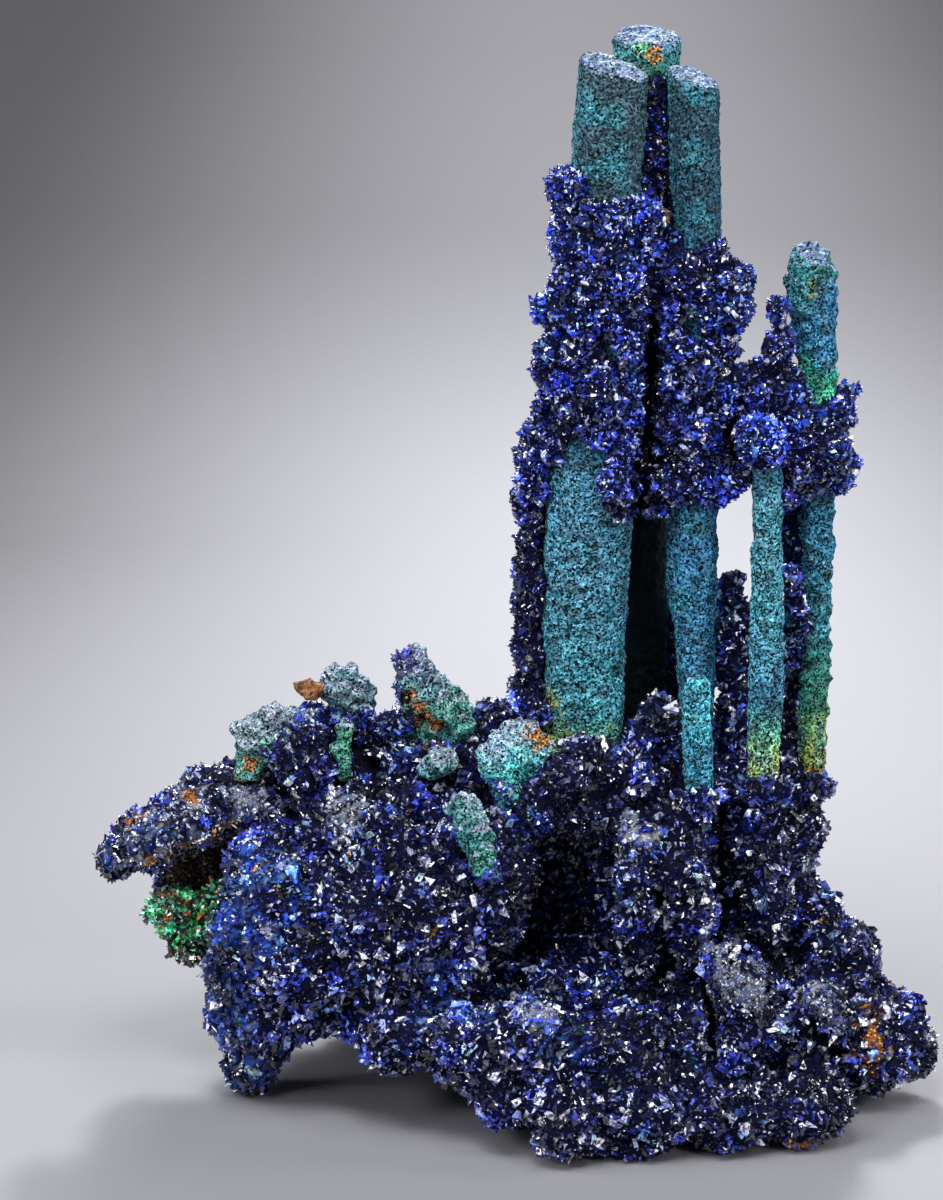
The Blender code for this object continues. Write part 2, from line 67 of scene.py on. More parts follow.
# Crystals
MOST_CRYSTALS = 22000  # in one piece, of about 8 triangles each
ROOTED = 0.6  # of a crystal's length lies in what it grows on
WIDEST_FOOT = 0.75  # how far a crystal's foot reaches from its axis, as a share of its width
LENGTH_RANGE = (0.45, 1.9)  # of the shortest and the longest crystal, as shares of the typical one
DEPTH_RANGE = (0.4, 1.0)  # of a crystal, as shares of its width
SHAPE_SHARES = (0.10, 0.32, 0.28, 0.30)  # of chisels, flat and steep wedges, and spears
DRUSE_GAP = 0.4 * MM  # between the druse and the pieces beside it
FINE_GAP = 0.3 * MM  # between the finer crystals and those pieces, and round the openings
DRUSE_ROUGHNESS = (0.08, 0.26)  # of the glassiest and of the dullest crystal

# Nodular ground
GROUND_ROUNDS = 8  # of smoothing, before the nodules grow
GRIT = (1.6, 0.12)  # length and height of the ground's own unevenness, in millimetres
SLITS_END = 10 * MM  # the slits in the front reach no further back than this
LEAST_WALL = 1 * MM  # is left behind a slit
FRONT = 0.2  # a place belongs to the front where its normal leans back by no more than this
BARE_SLIT = 0.45  # nothing grows in a slit where its nearness, from 0 to 1, is more than this
DEEP_GAP = 0.88  # the shade between two nodules, from 0 to 1, past which crystals may be missing

# Light and shade on the druse. A place is in a gap where its distances from two nodules, in their
# radii, differ by less than GAP_WIDTH, or where it is more than GAP_START from the nearest; the gap
# is deepest GAP_RISE further out.
GAP_WIDTH = 0.5
GAP_START = 1.1
GAP_RISE = 0.3
GAP_SHADE = 0.96  # of a crystal's light is lost in the deepest gap
NODULE_LIGHT = (0.5, 1.6)  # of the darkest and of the brightest nodule
PURER = (0.85, 1.2, 1.05)  # what a purer region's red, green and blue are multiplied by
# The pale crystals are painted glints, and grow only where the painted shade is lighter than this.
GLINTS_SHOW = 0.3  # pale crystals grow only where a place is less dark than this, from 0 to 1

# The crystals and grains are near these solids, and stay out of them.
COLUMNS = [f"column_{name}" for name in ("back", "broad", "middle", "right", "slender", "stub")]
KNOBS = [
    f"malachite_{name}"
    for name in ("bud", "crag", "finger", "knob_high", "knob_low", "saddle", "strip")
]
CAVITY = "malachite_cavity_crystals"

# How crystals grow: their length, the grid that spaces them, their width as a share of the length,
# their lean, the spread of their lengths, the share that is pale as painted glints, how much larger
# these are, the share missing from the deepest gaps between the nodules, and the tones of the rest.
Habit = namedtuple(
    "Habit",
    "length spacing width lean spread pale flake sparse tones",
    defaults=(0, 1, 0, None),
)

# Round nodules of one size: the grid that spaces them, their radii, and the least and most depth
# of a nodule's top under the smooth form.
Nodules = namedtuple("Nodules", "spacing least most shallow deep")

# A slit in the front, between two growths, carved back and darkened with painted shade: the (x, z)
# points of its line, its half width and its depth.
Slit = namedtuple("Slit", "line width depth")

# An opening right through, which slopes down towards the back: a point on its line and its radius.
# Nothing grows in it.
Opening = namedtuple("Opening", "x y z radius")
OPENING_WAY = np.array((0, 0.96, -0.28))

# A single round nodule: its middle and radius.
Nodule = namedtuple("Nodule", "x y z radius")

# A box cut out of the form before anything grows on it: its sides along x, y and z.
Cut = namedtuple("Cut", "x y z")

# The form of an azurite ground: its grid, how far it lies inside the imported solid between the
# nodules, its nodules, its slits, its openings, its single nodules and its cuts.
Ground = namedtuple("Ground", "grid sink nodules slits openings singles cuts")

# A patch of another mineral or tone: its middle and radius, and its share there.
Patch = namedtuple("Patch", "x y z radius share")

# A skin's grid, its rounds of smoothing, its swells (each a length and a height), the tones of its
# top, how much of it is bright turquoise in patches and as a painted highlight on its sides that face
# left, and whether its front is deep in shade.
Skin = namedtuple("Skin", "grid rounds swells tops bright shaded")

# A square light: its direction and distance from the place that it faces, its side in metres, its
# radiance, and the place it faces.
Softbox = namedtuple("Softbox", "azimuth elevation distance size radiance target", defaults=[(0, 0, 0.08)])


def each(kind, *rows):
    """One of this kind for each row of its values."""
    return [kind(*row) for row in rows]


def linear(code):
    """An sRGB hex colour as linear red, green and blue."""
    channels = [int(code[i : i + 2], 16) / 255 for i in (0, 2, 4)]
    return tuple(c / 12.92 if c <= 0.04045 else ((c + 0.055) / 1.055) ** 2.4 for c in channels)


# Tones of one kind of crystal, as (sRGB hex, share).
# The palest tones of the crown and of the matrix are partly lighter crystals and partly painted sheen on
# faces that catch the light.
CROWN_TONES = [
    ("0a1250", 0.2), ("1a2b96", 0.25), ("2c40bc", 0.23), ("4660dc", 0.17), ("8094ea", 0.1),
    ("c0ccf6", 0.05),
]
MATRIX_TONES = [
    ("080d3a", 0.26), ("17237a", 0.22), ("2c3aae", 0.19), ("4c60d0", 0.13), ("8494dc", 0.11),
    ("c4ccf0", 0.09),
]
FROST_TONES = [("8d9ab8", 0.34), ("b2b2b4", 0.18), ("6478a8", 0.26), ("d3d8e4", 0.22)]
IRON_TONES = [("d2872a", 0.34), ("a35a1f", 0.3), ("eab04e", 0.14), ("4c2c1a", 0.22)]
RUST_TONES = [("9a5a2c", 0.28), ("b8804c", 0.18), ("3a2320", 0.38), ("c89a70", 0.16)]
CAVE_TONES = [("140c0c", 0.4), ("4a2c1a", 0.26), ("0a0707", 0.24), ("8a5a38", 0.1)]
COBALT_TONES = [("2448c0", 0.28), ("4672e0", 0.24), ("8cace6", 0.16), ("4a6cb0", 0.14), ("16287c", 0.18)]
TEAL_TONES = [("2f7f86", 0.4), ("58a79f", 0.3), ("1d4f66", 0.3)]
# Among these, the white is a painted glint, and the palest green is partly one.
GREEN_TONES = [
    ("35bd72", 0.26), ("1c7a48", 0.16), ("6fdcb8", 0.18), ("d4f0e6", 0.08), ("f4f4f0", 0.04),
    ("12301f", 0.12), ("b86030", 0.1), ("201c34", 0.08),
]
# Painted glints: pale crystals that stand in for faces mirroring a light.
GLINT_TONES = [("f2f4ff", 0.5), ("b9bfe0", 0.5)]
TOP_TONES = [("5c7195", 0.4), ("7c8fb3", 0.28), ("495f93", 0.14), ("b3c2d9", 0.08), ("4f7e8b", 0.1)]
MOSS_TONES = [("8f9a3c", 0.4), ("5f8a3f", 0.3), ("b8943a", 0.15), ("3f6a34", 0.15)]
LUMP_TONES = [("8a5a34", 0.4), ("5f3a24", 0.25), ("b98a5c", 0.2), ("2e1c14", 0.15)]
DARK_TONES = [("0c0a0c", 0.6), ("1c1418", 0.25), ("3a2a18", 0.15)]
STUB_TOP_TONES = [("2c8ea0", 0.6), ("1c6880", 0.25), ("8fc0c8", 0.15)]
KNOB_TOP_TONES = [("7f89a0", 0.4), ("9ea1b4", 0.26), ("699399", 0.2), ("555d7e", 0.14)]

# The large nodules in the front of the crown.
CROWN_LOBES = each(
    Nodule,
    (7.6, 0.8, 150.4, 3.6), (7.5, 2.6, 144, 2.8), (7.9, 0.4, 140.5, 3.1), (14.3, -2.6, 145.9, 2.9),
    (19.5, -0.4, 146.4, 2.5), (19.7, 1, 141.4, 2.6), (24.4, 4, 141.2, 2.3), (25.7, 2.4, 137, 3.6),
    (30.1, 2.7, 139.9, 2.3), (34.1, 3.2, 135, 3.1), (34.3, 0.8, 131.4, 2.6), (31.4, 0.7, 132.4, 2),
    (29, 1.7, 134.6, 2.5), (15.9, -1.7, 136.5, 3.4), (11, -1.7, 134.7, 2.5), (6.4, 1.1, 134.6, 2),
    (4.3, 2.8, 130.6, 2.6), (17.6, -0.4, 132.4, 2.2), (12.6, -2.2, 130.3, 2), (8.8, -0.3, 124.6, 3.1),
    (4.4, -0.3, 124.3, 2.3), (16.1, 0.1, 125.3, 3.4), (20.4, 3.8, 124.4, 2), (18.1, 0.2, 118.6, 2.9),
    (12.7, -2.5, 120.7, 2.5), (6.9, -0.5, 119.1, 2.8), (26.8, 2.7, 124.6, 3.7), (22.5, 2.9, 127.1, 1.9),
    (32.4, 3.2, 124.6, 2.2), (23.5, 1.5, 120.1, 2.3), (28.4, 0.4, 120.3, 2.8), (32, 1.8, 117.6, 2.3),
    (40.1, 0, 125.3, 2.2), (40.5, 0.6, 131.3, 1.9), (35.6, 2.9, 119.2, 2.6), (37.9, 0.4, 117.2, 2.2),
    (37.8, -2, 110.5, 4.3), (44.2, -0.8, 113.5, 2.2), (50.7, 2.3, 114.5, 2.6), (49.1, 1.1, 108, 3.7),
    (50.6, 1.6, 103, 2.5), (44.4, -0.9, 105.3, 2.2), (34.7, -0.1, 103.5, 2.2), (42.2, 0, 101.4, 2),
    (27, 1.5, 112.8, 3.1), (31, 0.7, 109.7, 2.3), (27.1, 1.1, 107, 2.8), (25, 1.3, 101.4, 2.5),
    (28.8, 0.8, 101.5, 2.2), (22.8, 1.6, 98.7, 1.9), (8.4, -1, 115.9, 2.8), (14, -2.1, 116.4, 2.8),
    (17.9, 0.5, 114.4, 2), (12.8, -1.7, 111.3, 2.5), (16.8, -0.5, 108.1, 2.8), (14.7, -3.1, 103.5, 2.5),
    (17.5, -4.5, 103.1, 1.9), (3.9, 2.2, 111.8, 2.5), (2.8, 1.8, 106.1, 2.6), (3.5, 2.1, 101.2, 2.2),
    (1.1, 1.2, 103.1, 1.9), (37.9, 4, 120.6, 1.8), (39.6, 4, 120.4, 1.7), (36.4, 4, 120.2, 1.6),
    (21.9, 6.6, 163.4, 1.5), (22, 7.2, 165.4, 1.2),
)
# The gaps beside the right stalactite, and the notch at the crown's left top.
CROWN_OPENINGS = each(
    Opening,
    (1.4, 2, 152, 1.8), (36.8, 4, 125.2, 1.8), (37.9, 4, 128, 0.7), (38.2, 4, 130.5, 0.7),
    (38.5, 4, 133, 0.8), (35.6, 4, 95.6, 0.7), (35.8, 4, 92.3, 0.9), (35.8, 4, 88.9, 0.7),
)
CROWN_GROUND = Ground(
    0.6 * MM,
    2.8 * MM,
    [
        Nodules(4.7 * MM, 2.1 * MM, 3.3 * MM, -0.7 * MM, 0.9 * MM),
        Nodules(3.0 * MM, 1.1 * MM, 1.6 * MM, 0.2 * MM, 2.0 * MM),
    ],
    each(
        Slit,
        ([(21.4, 129), (21.1, 122.9)], 1.3, 8),
        ([(21.1, 123.5), (20.7, 117.3), (20.2, 108.2), (19, 97.5)], 2.1, 10),
        ([(26.8, 129.5), (28.5, 126.5)], 1.2, 4),
        ([(13, 127), (15, 124)], 1.2, 4),
        ([(33, 111), (34.2, 107)], 1.2, 4),
    ),
    CROWN_OPENINGS,
    CROWN_LOBES,
    each(Cut, ((37.3, 39.1), (-8, 26), (127, 137)), ((6.6, 12.8), (-10, -1.2), (103.5, 110.6))),
)
# The spires on the shoulder and behind the stalactites, and the nodules round the stalactites' feet.
MATRIX_SINGLES = each(
    Nodule,
    (-37.6, 1.2, 56.6, 2.9), (-34, 1.8, 59.2, 2.8), (-31.8, -0.5, 55.4, 2.7), (-35.2, -0.8, 53, 2.8),
    (-20.6, 5.5, 60.5, 2.4), (-25, 7.5, 60.2, 2.2), (25.7, 14, 58.5, 3), (26.3, 14.5, 62, 2.8),
    (26.2, 14.5, 65.5, 2.6), (26.2, 14.5, 69, 2.5), (26.1, 14.5, 72.5, 2.4), (26, 14.5, 76, 2.2),
    (44.4, 4.2, 72.5, 2), (44.7, 3.2, 75, 1.8), (45, 2.2, 77.3, 1.8), (45.1, 1.5, 79.6, 1.8),
    (44.8, 1.2, 82.1, 1.8), (44.2, 1.2, 84.6, 1.7), (43.5, 1.2, 87.2, 1.7), (43.2, 3, 80.6, 1.6),
    (43.2, 3.2, 77.4, 1.6), (36.6, 5, 60.5, 2.2), (32.6, 8, 68, 2), (32.6, 8, 71, 2),
    (28.8, -9, 52.2, 2.8), (26.4, -6.8, 51.6, 2.4), (31.4, -6.8, 51.6, 2.4), (39.8, -4.8, 52.8, 2.6),
    (37.2, -3.6, 52.8, 2.2), (42.4, -3.6, 52.6, 2.2), (48.6, 0.6, 51.4, 2.4), (49.8, 1.6, 51.2, 1.8),
    (37.4, 6.5, 56.5, 2.2), (37.3, 7.5, 59.5, 1.8), (15.2, 15.6, 53, 3), (17.4, 18.6, 52.6, 3.2),
    (20.4, 19.4, 51.8, 3.6), (23.4, 18.4, 52.8, 3.2), (25.6, 15.4, 53.2, 3), (18.6, 19, 56.2, 2),
    (22.2, 18.8, 55.8, 2.4),
)
MATRIX_GROUND = Ground(
    0.95 * MM,
    3.2 * MM,
    [
        Nodules(7.0 * MM, 2.6 * MM, 4.6 * MM, -0.6 * MM, 1.6 * MM),
        Nodules(4.0 * MM, 1.4 * MM, 2.4 * MM, 0.2 * MM, 2.4 * MM),
    ],
    each(
        Slit,
        ([(33.1, 51), (33.2, 38.7), (34.1, 29)], 1.3, 7),
        ([(35.9, 34.6), (36.1, 29)], 1.2, 5),
        ([(22.6, 38.6), (22.9, 32.4), (23.2, 26)], 1.4, 6),
        ([(30.7, 22.6), (31.2, 13.8)], 1.3, 5),
        ([(29.2, 25.6), (29.2, 23.8)], 2.2, 4),
        ([(39.8, 25), (43.4, 21.4)], 1.1, 4),
        ([(46.9, 18.2), (51.6, 11)], 1.8, 4),
        ([(-27, 57), (-22.5, 53)], 1.8, 4),
        ([(-41, 52.5), (-36, 49.5)], 1.6, 4),
    ),
    [],
    MATRIX_SINGLES,
    [],
)

FROST_PATCHES = each(
    Patch,
    (18.6, -13, 49.2, 3.6, 0.6), (2.6, -27, 24.5, 3.6, 0.6), (31.4, -16.4, 31.6, 2.8, 0.6),
    (33.3, -21, 29.9, 3.2, 0.65), (36, -22.2, 26.4, 3.2, 0.65), (38.1, -22.2, 24, 2.6, 0.6),
    (48.3, -18.6, 23.9, 5, 0.5), (-28.5, -9, 52, 4, 0.6), (-43.3, -0.2, 49.5, 4, 0.6),
    (-54, 3.2, 49.9, 4, 0.35), (-57, 0, 45.5, 9, 0.22),
)
IRON_PATCHES = each(
    Patch,
    (-62.4, 4.4, 45.1, 2.2, 0.9), (-53.2, 2.6, 50.1, 1.8, 0.9), (-12.4, -22, 34.8, 1.5, 0.9),
    (-27.5, -14.3, 46.6, 1.2, 0.9), (47.7, -0.9, 35.8, 1.8, 0.9), (49.5, -1.1, 29.7, 1.5, 0.9),
    (63.9, 0, 16.9, 2, 0.9), (57.7, -14.7, 14.2, 1.8, 0.9), (56.9, -16.4, 10.8, 3.5, 0.25),
    (58.6, -13.4, 17.5, 4, 0.25), (44.9, -28.5, 0.6, 2.5, 0.8), (-12.5, 3.8, 59.2, 1.3, 0.8),
    (-11.2, 1, 58, 1.3, 0.8), (-15.6, 3.6, 58.8, 1.2, 0.6),
)
# The rusty rim of the ledge.
RUST_PATCHES = each(
    Patch,
    (-66.3, -3, 37.4, 0.9, 0.7), (-64, -3.2, 38.2, 1, 0.8), (-61.6, -3.4, 39.2, 1.2, 0.9),
    (-59.2, -3.2, 40.1, 1.2, 0.9), (-56.6, -2.6, 41, 1.3, 0.9), (-54.2, -2.4, 41.6, 1.3, 0.9),
    (-51.4, -2.1, 42.3, 1.4, 0.9), (-48.8, -1.6, 43.2, 1.4, 0.9), (-46.6, -1.6, 45.2, 1.4, 0.8),
    (-44.4, -8.4, 44.6, 1.5, 0.7), (-42, -13, 43.2, 1, 0.7),
)
# The walls of the hollow under the ledge.
CAVE_PATCHES = each(
    Patch,
    (-50, 7, 34.5, 8, 0.95), (-57, 4, 35.5, 5, 0.9), (-46.5, -2, 37.5, 4.5, 0.85),
    (-14.6, 3.6, 58.6, 2.6, 0.7),
)
COBALT_PATCHES = each(
    Patch,
    (-44.3, -15.9, 38.4, 9, 0.7), (-48.8, -12.8, 18, 7, 0.6), (-46.4, -10, 4.4, 6, 0.6),
    (-10, -22.2, 23.8, 6, 0.55), (6.6, -28.7, 21.4, 5, 0.4), (-62, -2, 42, 6, 0.4),
    (37.8, -5, 110.5, 4.5, 0.5), (34.1, 0.5, 135, 3.4, 0.4), (18.1, -2.5, 118.6, 2.6, 0.4),
    (27, -1, 123, 2.6, 0.3),
)
TEAL_PATCHES = each(Patch, (29, -25.1, 14.7, 2.5, 0.25), (27.2, 1, 131.4, 1.5, 0.7))
# Places where little light reaches: the share is how much darker their middle is.
DEEP_PATCHES = each(
    Patch,
    (24, -20.9, 19.8, 5.5, 0.85), (26.1, -14.7, 22.3, 4.5, 0.8), (21.7, -25.6, 18.3, 3.5, 0.7),
    (47.4, -22.8, 13.6, 5, 0.85), (44.4, -21.9, 16.5, 3.8, 0.75), (50.6, -23.8, 10.6, 3.5, 0.7),
    (2, -9.7, 35.8, 9, 0.9), (8, -6, 42, 8, 0.9), (-2.8, -12, 28.4, 4.5, 0.75),
    (-24, -4, 54, 4, 0.75), (-38, -4, 50.5, 3.2, 0.8), (-20.5, -21, 37.5, 3.2, 0.7),
    (-31, -20, 30, 3.6, 0.6), (8, -29, 19.5, 3, 0.6), (26.2, 12, 64, 9, 0.9),
    (25.9, 12, 76, 7, 0.9), (33.5, 2, 72, 7, 0.6), (-19.5, 6, 69, 3.6, 0.7),
    (1.6, 1, 70, 7, 0.65), (1.6, 1, 80, 7, 0.6), (1.6, 1, 90, 7, 0.5),
    (26.8, -0.2, 127.9, 1.8, 0.8), (30, -0.3, 115.5, 2.4, 0.75), (33.5, -1.5, 109.5, 2.2, 0.75),
    (13.5, -3.5, 125.5, 2.2, 0.75), (16, -2.5, 134.5, 2, 0.7), (10, -3.8, 116.5, 2, 0.7),
    (25, -0.1, 107, 2.2, 0.75), (41, -3, 109, 1.8, 0.75), (22, 6, 165.5, 4, 0.75),
    (14, -12, 56, 12, 0.3),
)
# Other tones of the same crystals, and minerals that grow as a fine sugary druse of their own.
TONE_PATCHES = [(COBALT_PATCHES, COBALT_TONES), (TEAL_PATCHES, TEAL_TONES)]
FINE_PATCHES = [
    (FROST_PATCHES, FROST_TONES),
    (CAVE_PATCHES, CAVE_TONES),
    (RUST_PATCHES, RUST_TONES),
    (IRON_PATCHES, IRON_TONES),
]

# A skin's colours up its height, as (height, sRGB hex).
SKINS = {
    "column_broad": [
        (55, "92a252"), (59, "51967f"), (64, "2f98a7"), (84, "398ca9"), (104, "3984a5"), (118, "205979"),
        (130, "2c5e73"), (146, "396071"), (172, "375561"),
    ],
    "column_middle": [
        (50, "177fa6"), (84, "157faf"), (104, "0f6f9f"), (136, "165f7d"), (146, "20536c"),
        (168, "294f60"),
    ],
    "column_back": [
        (52, "2c6a70"), (110, "2c6480"), (150, "346672"), (163, "2f6a64"), (168, "2f7464"),
        (172, "4f86a4"),
    ],
    "column_right": [
        (50, "a6a03a"), (58, "7ca547"), (66, "2a8a6c"), (84, "147d96"), (104, "11749c"), (114, "21b47a"),
        (119, "2ab18f"), (124, "157ca8"), (130, "11729f"), (136, "327a73"), (141, "5699aa"),
    ],
    "column_slender": [
        (50, "d0cf5c"), (57, "b2d26a"), (62, "5dbb9a"), (68, "207a9e"), (76, "328baa"), (84, "43a4b9"),
        (98, "429bae"), (104, "287ea1"), (110, "1a5b87"),
    ],
    "column_stub": [(48, "1579a0"), (60, "1a8eb2"), (68, "2dbdcc"), (72, "2691ba")],
    "malachite_bud": [(53, "4f8c7c"), (59, "7c9ca4")],
    "malachite_crag": [(52, "6d5939"), (57, "40846f"), (64, "5aa394"), (69, "698ea2"), (73, "303a80")],
    "malachite_finger": [(42, "348c7c"), (50, "30847a"), (56, "5c929c")],
    "malachite_knob_high": [(58, "5f7a50"), (62, "4f8580"), (69, "7888a0")],
    "malachite_knob_low": [(51, "9e9043"), (54, "419680"), (58, "5e948a"), (63, "8d98ab")],
    "malachite_saddle": [(48, "37cebd"), (56, "46dad5"), (60, "82c8db"), (63, "b3b9e0")],
    "malachite_strip": [(52, "34886a"), (62, "46a080")],
}
SKIN_MOSS_PATCHES = each(
    Patch,
    (5.4, -1.2, 60, 3.6, 0.6), (4.6, 1, 66, 2.8, 0.6), (17, -1.5, 60, 3, 0.25),
    (40, -4.4, 55, 3, 0.4), (49, 1, 57, 3.4, 0.4), (46, 1.6, 134, 1.6, 0.3),
)
SKIN_DARK_PATCHES = each(
    Patch,
    (-16.4, 4.4, 62.4, 2, 0.9), (-18.6, 4.6, 65.4, 1.6, 0.9), (-12, 3.6, 60.4, 1.4, 0.7),
    (21, 10.6, 164, 3, 0.6),
)
SKIN_IRON_PATCHES = each(
    Patch,
    (20.9, 10.6, 169.4, 1.3, 0.9), (2.8, -4.2, 62.1, 2.2, 0.6), (4.6, -3.4, 61.2, 1.4, 0.9),
    (-17.2, 3.8, 66, 1.1, 0.9), (-15.8, 3.6, 64.2, 1.2, 0.9), (-14.4, 3.9, 62.4, 1.2, 0.9),
    (-13.2, 4.1, 60.9, 1.2, 0.9), (-16.6, 5, 60.6, 1.2, 0.8), (-43.6, 1, 55, 1.5, 0.8),
    (48, 2, 53, 1.8, 0.5), (5.4, -1.9, 147, 0.9, 0.6),
)
SKIN_GREEN_PATCHES = each(Patch, (19.2, 10.4, 171, 1.6, 0.9))
SKIN_PATCHES = [
    (SKIN_MOSS_PATCHES, MOSS_TONES),
    (SKIN_DARK_PATCHES, DARK_TONES),
    (SKIN_IRON_PATCHES, IRON_TONES),
    (SKIN_GREEN_PATCHES, GREEN_TONES),
]
# Azurite that has climbed onto the knobs.
CLIMB_PATCHES = each(
    Patch,
    (-37, 2, 57.6, 3.6, 1), (-33.5, 3, 60.5, 2.6, 1), (-25.5, 7.5, 60.6, 2.6, 1),
    (-29.5, 6.5, 60.8, 2.2, 0.9), (-19.6, 6, 71, 3, 1), (-20.2, 6, 66, 2, 0.8),
    (-20, 5, 60, 3, 1), (-11, 3, 56, 2, 0.8), (-16, -1, 55, 1.6, 0.8),
    (-3, -4.5, 52.5, 2.4, 0.8), (5.8, -3, 54, 2.6, 0.9), (-10.6, -15, 49, 2, 0.8),
    (-4, -18.5, 43.5, 2.4, 0.8),
)

GRAIN = 0.06  # height of the grains of a skin, in millimetres
COLUMN_SWELLS = [(7, 0.12), (2.2, 0.11), (0.95, 0.10)]
LUMPY_SWELLS = [(7, 0.12), (2.6, 0.30), (1.1, 0.14)]
KNOB_SWELLS = [(7, 0.4), (3, 0.45), (1.4, 0.2)]
# The turquoise of bright patches, and of the painted highlight on sides that face left.
TURQUOISE_AND_HIGHLIGHT_SKIN = "1f8ea0"
GREY_SKIN = "2c434e"
TUFTED = ((105 * MM, 125 * MM), (1.3, 0.95))  # two heights, and how strongly skins are tufted there
# A shaded skin is dark from SHADED_FRONT forwards, and up to SHADED_TOP.
SHADED_FRONT = 14 * MM
SHADED_TOP = 164 * MM
# How far the right and the front of a stalactite's broken top lie below the rest, and how far down
# from the top this reaches.
SLANT_REACH = 7 * MM
SLANTS = {
    "column_broad": (2.2, 2.4),
    "column_middle": (1.4, 1.6),
    "column_back": (0.8, 2.2),
    "column_right": (0.5, 2.4),
}

# The stage, in metres: the floor reaches this far, bends up behind the object in so many steps, and
# goes on up to the backdrop's top.
FLOOR_REACH = 8.0
BEND_START = 0.9
BEND_RADIUS = 0.5
BEND_STEPS = 10
BACKDROP_TOP = 2.0
SKY = "e6e8f0"
SKY_STRENGTH = 0.07
SENSOR_WIDTH = 36
LENS = 131.25
EYE = (-7.39, -664.35, 299.31)  # the camera's place, in millimetres
EYE_TILT = 72  # degrees up from straight down
SOFTBOXES = {
    "key_above_behind": Softbox(175, 37, 0.45, 0.06, 190),
    "rim_above_behind": Softbox(180, 46, 0.80, 0.26, 7),
    "above_front": Softbox(-8, 66, 0.70, 0.23, 13),
    "front_left": Softbox(-42, 32, 0.80, 0.20, 12),
    "front_right": Softbox(46, 26, 0.80, 0.19, 12),
    "side_left": Softbox(-88, 24, 0.75, 0.19, 13),
    "side_right": Softbox(92, 22, 0.75, 0.19, 13),
    "above_left": Softbox(-60, 58, 0.75, 0.18, 12),
    "above_right": Softbox(62, 54, 0.75, 0.18, 12),
    "backdrop": Softbox(180, 84, 0.85, 0.40, 18, (0.04, 0.95, 0)),
}


def length_of(name, description, size):
    return bpy.props.FloatProperty(name=name, description=description, default=size * MM, unit="LENGTH")


def colour_of(name, description, code):
    settings = {"name": name, "description": description, "default": linear(code)}
    return bpy.props.FloatVectorProperty(subtype="COLOR", size=3, **settings)


class DruseSizes(bpy.types.PropertyGroup):
    crown_crystal: length_of("Crown crystal length", "Length of a typical crystal of the crown", 0.78)
    crown_spacing: length_of("Crown crystal spacing", "Grid with one crystal of the crown a cell", 0.56)
    matrix_crystal: length_of("Matrix crystal length", "Length of a typical crystal of the matrix", 1.1)
    matrix_spacing: length_of("Matrix crystal spacing", "Grid with one crystal of the matrix a cell", 0.8)
    skin_grid: length_of("Skin grid", "Grid of the malachite skins, about the size of a grain", 0.42)


class SpecimenColours(bpy.types.PropertyGroup):
    ground: colour_of("Azurite ground", "Colour of the massive azurite between the crystals", "0b0d2a")
    floor: colour_of("Floor", "Colour of the floor and of the backdrop at its foot", "929298")
    # The backdrop edge colour is the painted falloff of light at the paper's edges.
    backdrop: colour_of("Backdrop edge", "Colour of the backdrop away from its middle", "464649")


# Arrays and meshes


def unit(vectors):
    return vectors / np.maximum(np.linalg.norm(vectors, axis=-1, keepdims=True), 1e-12)


def waves(points, length, seed):
    """A smooth random height between about -1 and 1 at each point, from crossing waves of this length."""
    rng = np.random.default_rng(seed)
    ways = unit(rng.normal(size=(WAVES, 3))) * (2 * math.pi / length)
    ways *= rng.uniform(0.7, 1.4, size=(WAVES, 1))
    phases = rng.uniform(0, 2 * math.pi, size=WAVES)
    return np.sin(points @ ways.T + phases).sum(axis=1) / math.sqrt(WAVES)


def linked(name, data):
    """A new object with this data, in the scene."""
    obj = bpy.data.objects.new(name, data)
    bpy.context.scene.collection.objects.link(obj)
    return obj


def object_from(bm, name):
    mesh = bpy.data.meshes.new(name)
    bm.to_mesh(mesh)
    bm.free()
    return linked(name, mesh)


def new_object(name, points, triangles):
    mesh = bpy.data.meshes.new(name)
    mesh.from_pydata(points.tolist(), [], triangles.tolist())
    return linked(name, mesh)


def modify(obj, kind, **settings):
    """Puts a modifier's result into the object's own mesh."""
    modifier = obj.modifiers.new(kind, kind)
    for name, value in settings.items():
        setattr(modifier, name, value)
    graph = bpy.context.evaluated_depsgraph_get()
    old = obj.data
    obj.data = bpy.data.meshes.new_from_object(obj.evaluated_get(graph))
    obj.modifiers.clear()
    bpy.data.meshes.remove(old)


def rows_of(collection, field, kind=np.float32):
    """A field of each item of a mesh's collection, in rows of three."""
    values = np.empty(len(collection) * 3, kind)
    collection.foreach_get(field, values)
    return values.reshape(-1, 3)


def points_of(mesh):
    return rows_of(mesh.vertices, "co").astype(float)


def normals_of(mesh):
    return rows_of(mesh.vertex_normals, "vector").astype(float)


def triangles_of(mesh):
    mesh.calc_loop_triangles()
    return rows_of(mesh.loop_triangles, "vertices", np.int32)


def move_points(mesh, points):
    mesh.vertices.foreach_set("co", points.astype(np.float32).ravel())
    mesh.update()


def push_out(mesh, heights):
    """Moves each point along its normal by its height, and gives the new places."""
    points = points_of(mesh) + normals_of(mesh) * heights[:, None]
    move_points(mesh, points)
    return points


def remesh(obj, grid, rounds):
    """Melts the object into one even skin of this grid, then smooths it this many rounds."""
    modify(obj, "REMESH", mode="VOXEL", voxel_size=grid)
    if rounds:
        modify(obj, "SMOOTH", factor=0.5, iterations=rounds)


def largest_body(obj):
    """Drops the closed bubbles that fusing may leave inside."""
    bm = bmesh.new()
    bm.from_mesh(obj.data)
    left = set(bm.verts)
    bodies = []
    while left:
        body = {left.pop()}
        edge = list(body)
        while edge:
            near = {e.other_vert(v) for v in edge for e in v.link_edges} & left
            left -= near
            body |= near
            edge = list(near)
        bodies.append(body)
    bodies.sort(key=len)
    bmesh.ops.delete(bm, geom=[v for body in bodies[:-1] for v in body], context="VERTS")
    bm.to_mesh(obj.data)
    bm.free()


